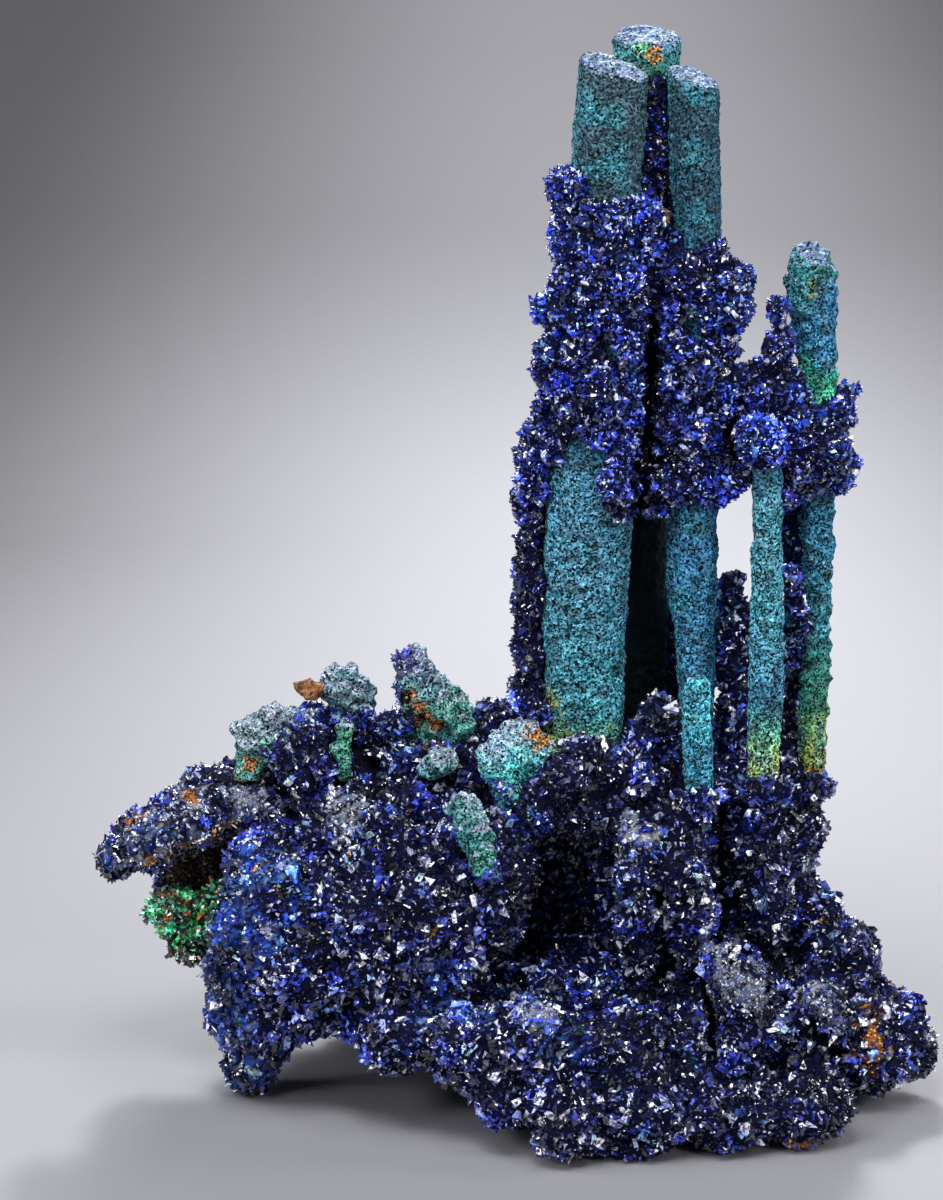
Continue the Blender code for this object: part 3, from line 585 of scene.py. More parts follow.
def cut_box(obj, cut):
    """Cuts this box out of the object."""
    low, high = np.array(cut).T * MM
    bm = bmesh.new()
    bmesh.ops.create_cube(bm, size=1)
    bmesh.ops.scale(bm, verts=bm.verts, vec=high - low)
    bmesh.ops.translate(bm, verts=bm.verts, vec=(low + high) / 2)
    box = object_from(bm, "cut")
    modify(obj, "BOOLEAN", object=box, solver="EXACT")
    bpy.data.objects.remove(box)


def solid_copy(name, node, grid, rounds, cuts=()):
    """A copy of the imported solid, less the cuts, with its flat faces melted into an even skin."""
    bm = bmesh.new()
    bm.from_mesh(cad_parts[node].data)
    bmesh.ops.remove_doubles(bm, verts=bm.verts, dist=0.01 * MM)
    obj = object_from(bm, name)
    for cut in cuts:
        cut_box(obj, cut)
    remesh(obj, grid, rounds)
    return obj


def shape_arrays(bm):
    """The points and triangles of a small shape, which is then copied many times."""
    bmesh.ops.triangulate(bm, faces=bm.faces)
    bm.verts.index_update()
    points = np.array([v.co for v in bm.verts])
    triangles = np.array([[v.index for v in face.verts] for face in bm.faces])
    bm.free()
    return points, triangles


def ball():
    bm = bmesh.new()
    bmesh.ops.create_icosphere(bm, subdivisions=2, radius=1)
    return shape_arrays(bm)


def block():
    """A block of one unit that stands on its foot, and the corners of its top."""
    bm = bmesh.new()
    bmesh.ops.create_cube(bm, size=1, matrix=Matrix.Translation((0, 0, 0.5)))
    return bm, [vert for vert in bm.verts if vert.co.z > 0.5]


def chisel(top_width, top_depth, slope):
    """A crystal with a flat sloping end, one unit wide, deep and long, standing on its foot."""
    bm, top = block()
    for vert in top:
        vert.co.z += slope * vert.co.x
        vert.co.x *= top_width
        vert.co.y *= top_depth
    return shape_arrays(bm)


def wedge(slope):
    """A crystal with two long faces that meet in an edge."""
    bm, top = block()
    for vert in top:
        vert.co.x = slope
        vert.co.z += slope * vert.co.y
    bmesh.ops.remove_doubles(bm, verts=bm.verts, dist=0.001)
    return shape_arrays(bm)


def spear():
    """A four-sided crystal that ends in a point."""
    bm = bmesh.new()
    bmesh.ops.create_cone(bm, cap_ends=True, segments=4, radius1=WIDEST_FOOT, radius2=0, depth=1)
    bmesh.ops.translate(bm, verts=bm.verts, vec=(0, 0, 0.5))
    return shape_arrays(bm)


def copies(shape, places, axes, sizes, rng):
    """Points and triangles of a copy of the shape at each place, with its Z along the axis."""
    points, triangles = shape
    across = unit(np.cross(axes, rng.normal(size=axes.shape)))
    turned = np.stack([across, np.cross(axes, across), axes], axis=1) * sizes[:, :, None]
    made = np.einsum("vk,nkj->nvj", points, turned) + places[:, None]
    numbers = np.arange(len(places)) * len(points)
    return made.reshape(-1, 3), (triangles[None] + numbers[:, None, None]).reshape(-1, 3)


def joined(parts):
    """One set of points and triangles from several."""
    points, triangles, start = [], [], 0
    for part_points, part_triangles in parts:
        points.append(part_points)
        triangles.append(part_triangles + start)
        start += len(part_points)
    return np.concatenate(points), np.concatenate(triangles)


def seats(mesh, grid, rng):
    """Random places on the mesh, one in each cell of the grid, and the normals there."""
    points = points_of(mesh)
    normals = normals_of(mesh)
    triangles = triangles_of(mesh)
    a, b, c = (points[triangles[:, i]] for i in range(3))
    areas = np.linalg.norm(np.cross(b - a, c - a), axis=1) / 2
    tries = int(TRIES * areas.sum() / grid**2)
    chosen = rng.choice(len(triangles), size=tries, p=areas / areas.sum())
    weights = rng.dirichlet((1, 1, 1), size=tries)
    places = np.einsum("nk,nkj->nj", weights, points[triangles[chosen]])
    _, first = np.unique(np.floor(places / grid).astype(int), axis=0, return_index=True)
    directions = np.einsum("nk,nkj->nj", weights[first], normals[triangles[chosen[first]]])
    return places[first], unit(directions)


def trees_of(nodes):
    """Search trees over the solids, for finding what is near them or inside them."""
    meshes = [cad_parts[node].data for node in nodes]
    forms = [([v.co for v in mesh.vertices], [p.vertices for p in mesh.polygons]) for mesh in meshes]
    return [BVHTree.FromPolygons(*form) for form in forms]


def clear_of(places, trees, clearance):
    """True for each place that is outside every solid by more than the clearance."""
    free = np.ones(len(places), bool)
    for i, place in enumerate(places):
        for tree in trees:
            near, normal, _, distance = tree.find_nearest(place, SOCKET_DEPTH)
            if near and (distance < clearance or (Vector(place) - near).dot(normal) < 0):
                free[i] = False
                break
    return free


def pick_tones(tones, count, rng):
    """A colour for each of so many crystals, by the tones' shares, a little lighter or darker."""
    colours = np.array([linear(code) for code, _ in tones])
    shares = np.array([share for _, share in tones])
    picked = colours[rng.choice(len(tones), size=count, p=shares / shares.sum())]
    return picked * rng.uniform(0.85, 1.15, size=(count, 1))


def retone(colours, chosen, tones, rng):
    """Gives the chosen places colours of these tones."""
    colours[chosen] = pick_tones(tones, len(colours), rng)[chosen]


def in_patches(places, patches, rng):
    """True for the places that a patch takes, with a ragged rim."""
    taken = np.zeros(len(places), bool)
    for patch in patches:
        reach = patch.radius * MM * (1 + PATCH_RAGGED * waves(places, patch.radius * MM, 5))
        taken |= (away_from(places, patch) < reach) & (rng.random(len(places)) < patch.share)
    return taken


def tone_patches(colours, places, patches, rng):
    """Gives the places in each patch its own tones, and tells which places have been taken."""
    grown = np.zeros(len(places), bool)
    for spots, tones in patches:
        taken = in_patches(places, spots, rng)
        retone(colours, taken, tones, rng)
        grown |= taken
    return grown


def darkness(places, spots):
    """How dark each place is: the patch's share in its middle, falling to 0 at its ragged rim."""
    dark = np.zeros(len(places))
    for patch in spots:
        reach = patch.radius * MM * (1 + SHADE_RAGGED * waves(places, patch.radius * MM, 6))
        dark = np.maximum(dark, patch.share * np.clip(2 - 2 * away_from(places, patch) / reach, 0, 1))
    return dark


def paint(obj, colours, fourth):
    """Gives each point its colour, and as the fourth value its roughness or, on malachite, how
    strongly it is tufted."""
    values = np.concatenate([colours, np.broadcast_to(fourth, (len(colours), 1))], axis=1)
    layer = obj.data.color_attributes.new("tint", "FLOAT_COLOR", "POINT")
    layer.data.foreach_set("color", values.astype(np.float32).ravel())


def settle(obj, kind, slot, *nodes):
    """Gives the object its material and its body, and hides the solids that it replaces. The slot is not
    used.
    """
    obj.data.materials.append(make_material(*MATERIALS[kind]))
    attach(obj, "root")
    if nodes:
        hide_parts(*nodes)


# Materials


def add_node(tree, kind, inputs=(), **settings):
    """Adds a node with these settings. Its inputs are named or in the node's own order, and each is
    a value, an output, or a node whose first output is meant."""
    made = tree.nodes.new("ShaderNode" + kind)
    for name, value in settings.items():
        setattr(made, name, value)
    for socket, value in inputs.items() if isinstance(inputs, dict) else enumerate(inputs):
        if isinstance(value, bpy.types.Node):
            value = value.outputs[0]
        if isinstance(value, bpy.types.NodeSocket):
            tree.links.new(value, made.inputs[socket])
        else:
            made.inputs[socket].default_value = value
    return made


def finish_shader(tree, inputs):
    surface = add_node(tree, "BsdfPrincipled", inputs)
    add_node(tree, "OutputMaterial", {"Surface": surface})


def make_material(name, build, *values):
    """The material of this name, built once and then shared."""
    material = bpy.data.materials.get(name)
    if material is None:
        material = bpy.data.materials.new(name)
        material.use_nodes = True
        material.node_tree.nodes.clear()
        build(material.node_tree, *values)
    return material


def azurite_crystal(tree):
    """Glassy azurite crystal faces: deep blue that turns white where a face mirrors a light."""
    tint = add_node(tree, "Attribute", attribute_name="tint")
    place = add_node(tree, "TexCoord").outputs["Object"]
    # Each crystal ends in many small faces, drawn at 0.45 mm: the real ones are finer than shows.
    faces = add_node(tree, "TexVoronoi", {"Vector": place, "Scale": 1 / (0.45 * MM)}).outputs["Color"]
    # Each small face is drawn from 0.15 to 2.1 times as bright as the crystal's tint: painted light and
    # shade of faces turned different ways.
    tone = add_node(tree, "MapRange", (faces, 0.25, 0.75, 0.15, 2.1))
    colour = add_node(tree, "VectorMath", (tint, tone), operation="MULTIPLY")
    lean = (faces, (0.6, 0.6, 0.6), (-0.3, -0.3, -0.3))
    tilt = add_node(tree, "VectorMath", lean, operation="MULTIPLY_ADD")
    upright = add_node(tree, "NewGeometry").outputs["Normal"]
    tilted = add_node(tree, "VectorMath", (upright, tilt), operation="ADD")
    normal = add_node(tree, "VectorMath", (tilted,), operation="NORMALIZE")
    shine = {"Roughness": tint.outputs["Alpha"], "IOR": 1.75, "Specular IOR Level": 0.8}
    finish_shader(tree, {"Base Color": colour, "Normal": normal, **shine})


def earthy(tree, roughness, specular):
    """A dull surface in its points' own colours."""
    tint = add_node(tree, "Attribute", attribute_name="tint")
    finish_shader(tree, {"Base Color": tint, "Roughness": roughness, "Specular IOR Level": specular})


def malachite_velvet(tree):
    """Stalactite skin of fine malachite needles: dull and felted, with light tufts and dark gaps.
    The fourth value of the tint is how strongly it is tufted."""
    tint = add_node(tree, "Attribute", attribute_name="tint")
    place = add_node(tree, "TexCoord").outputs["Object"]
    # Tufts of needles are about 0.2 mm across, and are drawn at 0.3 mm so that they show.
    tufts = add_node(tree, "TexVoronoi", {"Vector": place, "Scale": 1 / (0.3 * MM)}).outputs["Color"]
    tuft_tone = add_node(tree, "MapRange", (tufts, 0.25, 0.75, 0.0, 2.3))
    coarse = {"Vector": place, "Scale": 1 / (0.9 * MM), "Detail": 3.0, "Roughness": 0.7}
    clumps = add_node(tree, "TexNoise", coarse)
    clump_tone = add_node(tree, "MapRange", (clumps, 0.33, 0.67, 0.5, 1.4))
    tone = add_node(tree, "Math", (tuft_tone, clump_tone), operation="MULTIPLY")
    tone = add_node(tree, "Math", (tone, tint.outputs["Alpha"]), operation="POWER")
    tufted = add_node(tree, "VectorMath", (tint, tone), operation="MULTIPLY")
    # The tips of the tufts are paler and greyer than the colour below.
    tips = add_node(tree, "MapRange", (tone, 1.0, 2.4, 0.0, 0.7))
    pale = add_node(tree, "HueSaturation", {"Saturation": 0.7, "Value": 2.0, "Color": tint})
    colour = add_node(tree, "Mix", {0: tips, 6: tufted, 7: pale}, data_type="RGBA").outputs[2]
    bump = add_node(tree, "Bump", {"Height": tone, "Strength": 0.8, "Distance": 0.15 * MM})
    finish_shader(tree, {"Base Color": colour, "Normal": bump, "Roughness": 0.7, "Specular IOR Level": 0.2})


def studio_paper(tree, colours):
    """Matt studio paper, with painted falloff of light: bright in the middle and darker towards the edges.
    """
    axes = add_node(tree, "SeparateXYZ", (add_node(tree, "TexCoord").outputs["Object"],))
    # The painted falloff darkens the sides behind the object more than in front of it.
    side_share = add_node(tree, "MapRange", (axes.outputs["Y"], 0.0, 0.3, 2.2, 7.2))
    aside = add_node(tree, "Math", (axes.outputs["X"], 0.03), operation="SUBTRACT")
    sideways = add_node(tree, "Math", (aside, side_share), operation="MULTIPLY")
    behind = add_node(tree, "MapRange", (axes.outputs["Y"], 0.1, 1.5, 0.0, 0.88))
    way = add_node(tree, "CombineXYZ", (sideways, behind))
    away = add_node(tree, "VectorMath", (way,), operation="LENGTH").outputs["Value"]
    light_falloff = add_node(tree, "MapRange", (away, 0.05, 1.5), interpolation_type="SMOOTHSTEP")
    ends = {6: (*colours.floor, 1), 7: (*colours.backdrop, 1)}
    colour = add_node(tree, "Mix", {0: light_falloff, **ends}, data_type="RGBA").outputs[2]
    finish_shader(tree, {"Base Color": colour, "Roughness": 0.9})


MATERIALS = {
    "azurite": ("Azurite, natural crystal faces", azurite_crystal),
    # Nearly black, and too dull to show a light.
    "ground": ("Azurite, massive and earthy", earthy, 0.9, 0.15),
    "malachite": ("Malachite, velvety botryoidal skin", malachite_velvet),
    # Rusty brown to ochre, dull and crumbly.
    "limonite": ("Limonite, earthy crust", earthy, 0.8, 0.5),
}


# Druse


def away_from(places, item):
    """How far each place is from the middle of a nodule or a patch."""
    return np.linalg.norm(places - np.array(item[:3]) * MM, axis=1)


def beside_openings(places, reach, openings):
    """True for each place that is further than its reach from every opening."""
    free = np.ones(len(places), bool)
    for opening in openings:
        away = places - np.array(opening[:3]) * MM
        away -= (away @ OPENING_WAY)[:, None] * OPENING_WAY
        free &= np.linalg.norm(away, axis=1) > opening.radius * MM + reach
    return free


def thickness(mesh, places, normals, most, filled=()):
    """How thick the form is under each place on it, but no more than this. A socket that one of the
    filled nodes stands in counts as solid."""
    tree = BVHTree.FromPolygons(points_of(mesh).tolist(), triangles_of(mesh).tolist())
    thick = np.full(len(places), most)
    for i, (start, way) in enumerate(zip(places - normals * 0.05 * MM, -normals)):
        distance = tree.ray_cast(start, way, most)[3]
        if distance is not None:
            thick[i] = distance
    thick[~clear_of(places - normals * thick[:, None], trees_of(filled), SOCKET_GAP)] = most
    return thick


def balls_at(middles, up, radii, rng):
    """Balls at these places, with their middles and radii."""
    return copies(ball(), middles, up, np.repeat(radii[:, None], 3, axis=1), rng), middles, radii


def nodule_balls(mesh, kind, form, rng):
    """Round nodules of one size, whose tops lie just inside the mesh and which keep off the single
    nodules: their balls, middles and radii."""
    places, normals = seats(mesh, kind.spacing, rng)
    radii = rng.uniform(kind.least, kind.most, size=len(places))
    radii = np.minimum(radii, 0.5 * thickness(mesh, places, normals, 2 * kind.most, COLUMNS))
    depths = rng.uniform(kind.shallow, kind.deep, size=len(places))
    middles = places - normals * (radii + depths)[:, None]
    free = beside_openings(middles, radii, form.openings)
    for single in form.singles:
        free &= away_from(middles, single) > single.radius * MM + 0.3 * radii
    return balls_at(middles[free], normals[free], radii[free], rng)


def single_balls(form, rng):
    """The form's single nodules: their balls, middles and radii."""
    middles = np.array([nodule[:3] for nodule in form.singles]) * MM
    radii = np.array([nodule.radius for nodule in form.singles]) * MM
    return balls_at(middles, np.tile((0.0, 0.0, 1.0), (len(radii), 1)), radii, rng)


def slit_nearness(points, slit):
    """1 on the slit's line, seen from the front, and 0 at its rims and beyond, and in the back."""
    flat = points[:, [0, 2]]
    corners = np.array(slit.line) * MM
    aside = np.full(len(points), np.inf)
    for foot, head in zip(corners[:-1], corners[1:]):
        run = head - foot
        along = np.clip((flat - foot) @ run / (run @ run), 0, 1)
        aside = np.minimum(aside, np.linalg.norm(flat - foot - along[:, None] * run, axis=1))
    aside *= 1 + 0.3 * waves(points, 3 * MM, 9)
    return np.clip(1 - aside / (slit.width * MM), 0, 1) * (points[:, 1] < SLITS_END)


def carve_slits(obj, slits):
    """Pushes the front of the ground back along each slit, as far as the ground is thick."""
    points = points_of(obj.data)
    tree = BVHTree.FromPolygons(points.tolist(), triangles_of(obj.data).tolist())
    front = normals_of(obj.data)[:, 1] < FRONT
    push = np.zeros(len(points))
    for slit in slits:
        push = np.maximum(push, slit.depth * MM * (1 - (1 - slit_nearness(points, slit)) ** 4) * front)
    back = Vector((0, 1, 0))
    for i in np.flatnonzero(push):
        start = Vector(points[i])
        behind = tree.ray_cast(start + back * 0.1 * MM, back, push[i] + LEAST_WALL)[3]
        if tree.ray_cast(start - back * 0.1 * MM, -back)[0]:
            push[i] = 0
        elif behind is not None:
            push[i] = max(0, behind - LEAST_WALL)
    points[:, 1] += push
    move_points(obj.data, points)


def sunken(mesh, depth):
    """The mesh's points, moved in by this depth, or by a third of the thickness where that is less."""
    points, normals = points_of(mesh), normals_of(mesh)
    return points - normals * (thickness(mesh, points, normals, 3 * depth) / 3)[:, None]


def nodular_ground(name, node, form, seed):
    """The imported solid's form in massive azurite, covered with round nodules. Gives the nodules'
    middles and radii too."""
    rng = np.random.default_rng(seed)
    smooth = solid_copy(name, node, form.grid, GROUND_ROUNDS, form.cuts)
    grown = [nodule_balls(smooth.data, kind, form, rng) for kind in form.nodules]
    grown.append(single_balls(form, rng))
    balls, middles, radii = zip(*grown)
    obj = new_object(name, *joined([(sunken(smooth.data, form.sink), triangles_of(smooth.data)), *balls]))
    bpy.data.objects.remove(smooth)
    obj.name = name
    remesh(obj, form.grid, 1)
    largest_body(obj)
    carve_slits(obj, form.slits)
    points = points_of(obj.data)
    length, height = GRIT
    points += normals_of(obj.data) * waves(points, length * MM, seed)[:, None] * height * MM
    points[:, 2] = np.maximum(points[:, 2], 0)
    move_points(obj.data, points)
    return obj, np.concatenate(middles), np.concatenate(radii)


def shadow_between(places, middles, sizes):
    """0 on top of a nodule, and 1 in the gap between nodules; and the number of the nearest nodule."""
    cell = sizes.max()
    table = {}
    for i, key in enumerate(map(tuple, np.floor(middles / cell).astype(int))):
        table.setdefault(key, []).append(i)
    depth = np.ones(len(places))
    nearest = np.full(len(places), len(middles))
    steps = list(itertools.product((-1, 0, 1), repeat=3))
    for i, (place, key) in enumerate(zip(places, np.floor(places / cell).astype(int).tolist())):
        near = [n for x, y, z in steps for n in table.get((key[0] + x, key[1] + y, key[2] + z), ())]
        if near:
            gaps = np.linalg.norm(middles[near] - place, axis=1) / sizes[near]
            order = np.argsort(gaps)[:2]
            nearest[i] = near[order[0]]
            if len(order) == 2:
                depth[i] = 1 - np.clip((gaps[order[1]] - gaps[order[0]]) / GAP_WIDTH, 0, 1)
            depth[i] = max(depth[i], np.clip((gaps[order[0]] - GAP_START) / GAP_RISE, 0, 1))
    return depth, nearest


def plant(name, places, normals, habit, colours, roughness, rng, larger=1):
    """Crystals of one habit at these places, in as many pieces as their number needs. Each is this
    much larger than its habit says."""
    count = len(places)
    axes = unit(normals + rng.normal(size=(count, 3)) * habit.lean)
    long = larger * habit.length * rng.lognormal(0, habit.spread, size=count).clip(*LENGTH_RANGE)
    wide = long * rng.uniform(*habit.width, size=count)
    sizes = np.stack([wide, wide * rng.uniform(*DEPTH_RANGE, size=count), long], axis=1)
    feet = places - axes * (long * ROOTED)[:, None]
    lowest = feet[:, 2] + np.minimum(axes[:, 2] * long, 0) - WIDEST_FOOT * wide
    shapes = [chisel(0.7, 0.8, 0.6), wedge(0.15), wedge(0.4), spear()]
    kinds = rng.choice(len(shapes), size=count, p=SHAPE_SHARES)
    order = rng.permutation(np.flatnonzero(lowest > 0))
    groups = np.array_split(order, math.ceil(len(order) / MOST_CRYSTALS))
    for number, group in enumerate(groups, 1):
        parts, hues = [], []
        for kind, shape in enumerate(shapes):
            own = group[kinds[group] == kind]
            parts.append(copies(shape, feet[own], axes[own], sizes[own], rng))
            hue = np.concatenate([colours[own], roughness[own, None]], axis=1)
            hues.append(np.repeat(hue, len(shape[0]), axis=0))
        hues = np.concatenate(hues)
        obj = new_object(f"{name}_{number}", *joined(parts))
        paint(obj, hues[:, :3], hues[:, 3:])
        settle(obj, "azurite", "azurite")


def grow_druse(name, ground, nodules, form, habit, bare, neighbours, seed):
    """Covers the ground with crystals, but for its slits, its openings and the bare patches."""
    rng = np.random.default_rng(seed)
    places, normals = seats(ground.data, habit.spacing, rng)
    free = clear_of(places, trees_of(neighbours), DRUSE_GAP)
    free &= beside_openings(places, FINE_GAP, form.openings)
    slit = np.max([slit_nearness(places, slit) for slit in form.slits], axis=0)
    slit[normals[:, 1] > FRONT] = 0
    free &= slit < BARE_SLIT
    for spots, _ in bare:
        free &= ~in_patches(places, spots, rng)
    places, normals, slit = places[free], normals[free], slit[free]
    shade, nearest = shadow_between(places, *nodules)
    shade = np.maximum(shade, slit / BARE_SLIT)
    kept = rng.random(len(places)) > habit.sparse * (shade > DEEP_GAP)
    places, normals, shade, nearest = (values[kept] for values in (places, normals, shade, nearest))
    colours = pick_tones(habit.tones, len(places), rng)
    tone_patches(colours, places, TONE_PATCHES, rng)
    purer = waves(places, 10 * MM, seed + 1) > 0.5
    colours[purer] *= PURER
    # Some nodules, and some regions, have caught more light than others.
    glow = rng.uniform(*NODULE_LIGHT, size=len(nodules[1]) + 1)[nearest]
    glow *= np.exp(0.45 * waves(places, 12 * MM, seed + 2)) * (1 - GAP_SHADE * shade)
    # Painted light: towards the left end the crystals are drawn brighter.
    glow *= 1 + 0.3 * np.clip(-places[:, 0] / (40 * MM), 0, 1)
    dark = darkness(places, DEEP_PATCHES)
    colours *= (glow * (1 - dark))[:, None]
    # Painted glints: a share of the crystals outside the painted shade is pale, and larger.
    pale = (rng.random(len(places)) < habit.pale) & (dark < GLINTS_SHOW)
    retone(colours, pale, GLINT_TONES, rng)
    roughness = rng.uniform(*DRUSE_ROUGHNESS, size=len(places))
    plant(name, places, normals, habit, colours, roughness, rng, np.where(pale, habit.flake, 1))


def grow_patches(name, bases, habit, patches, neighbours, seed, roughness=0.5):
    """Crystals on these patches of the bases alone, each patch in its own tones."""
    rng = np.random.default_rng(seed)
    seated = [seats(base.data, habit.spacing, rng) for base in bases]
    places, normals = (np.concatenate(arrays) for arrays in zip(*seated))
    free = clear_of(places, trees_of(neighbours), FINE_GAP)
    places, normals = places[free], normals[free]
    colours = np.zeros((len(places), 3))
    grown = tone_patches(colours, places, patches, rng)
    places, normals, colours = places[grown], normals[grown], colours[grown]
    colours *= 1 - darkness(places, DEEP_PATCHES)[:, None]
    spread = roughness * rng.uniform(0.6, 1.4, size=len(places))
    plant(name, places, normals, habit, colours, spread, rng)


def paint_ground(obj, colour, form, patches, seed):
    """The massive azurite's own colour, with painted shade in the slits, and the tones of the patches."""
    rng = np.random.default_rng(seed)
    points = points_of(obj.data)
    colours = np.tile(np.array(colour), (len(points), 1))
    taken = tone_patches(colours, points, patches, rng)
    colours[taken] *= 0.6
    # Painted shade: the ground is drawn up to 0.9 darker along each slit's line.
    for slit in form.slits:
        colours *= 1 - 0.9 * slit_nearness(points, slit)[:, None]
    paint(obj, colours, 0.9)


def cover(node, form, habit, painted, bare, neighbours, seed):
    """A nodular ground in the place of the solid, painted with its patches, and the crystals on it."""
    ground, *nodules = nodular_ground(node + "_ground", node, form, seed)
    paint_ground(ground, bpy.context.scene.specimen_colours.ground, form, painted, seed + 1)
    settle(ground, "ground", "azurite", node)
    grow_druse(node + "_crystals", ground, nodules, form, habit, bare, neighbours, seed + 2)
    return ground


class SPECIMEN_OT_crown(bpy.types.Operator):
    """Grows the nodular azurite that wraps the tops of the stalactites"""

    bl_idname = "specimen.crown"
    bl_label = "Azurite Crown"

    def execute(self, context):
        sizes = context.scene.druse_sizes
        crystals = (sizes.crown_crystal, sizes.crown_spacing, (0.5, 0.9), 0.55, 0.38)
        habit = Habit(*crystals, 0.05, 1.1, 0.5, CROWN_TONES)
        cover("azurite_crown", CROWN_GROUND, habit, [], [], COLUMNS, 11)
        return {"FINISHED"}


class SPECIMEN_OT_matrix(bpy.types.Operator):
    """Grows the bladed azurite of the matrix, with its frosted, rusty and cobalt places"""

    bl_idname = "specimen.matrix"
    bl_label = "Azurite Matrix"

    def execute(self, context):
        sizes = context.scene.druse_sizes
        crystals = (sizes.matrix_crystal, sizes.matrix_spacing, (0.45, 0.9), 0.6, 0.42)
        habit = Habit(*crystals, 0.05, 1.2, 0.05, MATRIX_TONES)
        fine = Habit(0.5 * MM, 0.42 * MM, (0.6, 1.0), 0.7, 0.3)
        near = COLUMNS + KNOBS
        painted = TONE_PATCHES + FINE_PATCHES
        ground = cover("azurite_matrix", MATRIX_GROUND, habit, painted, FINE_PATCHES, near, 21)
        grow_patches("azurite_matrix_frost", [ground], fine, FINE_PATCHES, near, 24)
        return {"FINISHED"}


# Skins


def slant_top(points, right, front):
    """Lowers the top of a stalactite towards its right and its front."""
    top = points[:, 2] > points[:, 2].max() - SLANT_REACH
    low, high = points[top].min(axis=0), points[top].max(axis=0)
    share = (points - low) / (high - low)
    amount = right * np.clip(share[:, 0], 0, 1) + front * np.clip(1 - share[:, 1], 0, 1)
    points[:, 2] -= np.clip(share[:, 2], 0, 1) ** 0.7 * amount * MM


def mixed(colours, others, amount):
    return colours * (1 - amount[:, None]) + others * amount[:, None]


def facing_up(normals):
    """1 where a skin faces up, and 0 on its sides."""
    return np.clip((normals[:, 2] - 0.45) / 0.2, 0, 1)


def skin_colours(points, normals, stops, skin, rng, seed):
    """Colours up the height, mottled and grainy, with a painted highlight on the sides that face left, and
    sugary tops.
    """
    heights = points[:, 2] / MM + 1.5 * waves(points, 9 * MM, seed)
    levels = [height for height, _ in stops]
    hues = np.array([linear(code) for _, code in stops])
    colours = np.stack([np.interp(heights, levels, hues[:, i]) for i in range(3)], axis=1)
    patchy = np.clip(0.5 * waves(points, 8 * MM, seed + 1), 0, 0.6)
    # Painted highlight: sides that face left are drawn brighter turquoise, as if lit.
    sides = np.clip((-normals[:, 0] - 0.7) * 2.4, 0, 0.6)
    colours = mixed(colours, np.array(linear(TURQUOISE_AND_HIGHLIGHT_SKIN)), skin.bright * np.maximum(patchy, sides))
    grey = np.clip(0.7 * waves(points, 4 * MM, seed + 2), 0, 0.55) * skin.bright
    colours = mixed(colours, np.array(linear(GREY_SKIN)), grey)
    ragged = np.clip(1 + 0.4 * waves(points, 2 * MM, seed + 3), 0, 1)
    colours = mixed(colours, pick_tones(skin.tops, len(points), rng), facing_up(normals) * ragged)
    return colours * rng.lognormal(0, 0.28, size=(len(points), 1))


def dress_skin(node, name, skin, seed):
    """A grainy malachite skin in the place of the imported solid."""
    rng = np.random.default_rng(seed)
    obj = solid_copy(name, node, skin.grid, skin.rounds)
    mesh = obj.data
    points = points_of(mesh)
    if node in SLANTS:
        slant_top(points, *SLANTS[node])
        move_points(mesh, points)
    height = rng.uniform(-GRAIN, GRAIN, size=len(points)) * MM
    for number, (length, swell) in enumerate(skin.swells):
        height += swell * MM * waves(points, length * MM, seed + number)
    moved = push_out(mesh, height)
    normals = normals_of(mesh)
    colours = skin_colours(moved, normals, SKINS[node], skin, rng, seed + 3)
    tone_patches(colours, moved, SKIN_PATCHES, rng)
    shade = np.clip((SHADED_FRONT - moved[:, 1]) / (2 * MM), 0, 0.95) * (moved[:, 2] < SHADED_TOP)
    shade *= skin.shaded
    tufting = np.interp(moved[:, 2], *TUFTED) * (1 - shade)
    tufting *= 1 - 0.5 * facing_up(normals)
    paint(obj, colours * (1 - shade)[:, None], tufting[:, None])
    settle(obj, "malachite", "malachite", node)
    return obj


def limonite_lump(name, middle, size, seed):
    """A crumbly brown lump. Its middle and its half sizes are in millimetres."""
    rng = np.random.default_rng(seed)
    points, triangles = ball()
    way = unit(points)
    swell = 1 + 0.35 * waves(way, 1.1, seed + 1) + 0.12 * waves(way, 0.4, seed + 2)
    points = (way * swell[:, None] * np.array(size) + np.array(middle)) * MM
    obj = new_object(name, points, triangles)
    remesh(obj, 0.4 * MM, 0)
    count = len(obj.data.vertices)
    push_out(obj.data, rng.uniform(-0.12, 0.12, size=count) * MM)
    paint(obj, pick_tones(LUMP_TONES, count, rng), 0.8)
    settle(obj, "limonite", None)


class SPECIMEN_OT_stalactites(bpy.types.Operator):
    """Gives the stalactites their felted malachite skins"""

    bl_idname = "specimen.stalactites"
    bl_label = "Malachite Stalactites"

    def execute(self, context):
        skin = Skin(context.scene.druse_sizes.skin_grid, 2, COLUMN_SWELLS, TOP_TONES, 1, 0)
        skins = {
            "column_back": skin._replace(shaded=1),
            "column_right": skin._replace(swells=LUMPY_SWELLS),
            "column_stub": skin._replace(tops=STUB_TOP_TONES),
        }
        for number, node in enumerate(COLUMNS):
            name = node.replace("column_", "stalactite_")
            dress_skin(node, name, skins.get(node, skin), 40 + 5 * number)
        return {"FINISHED"}


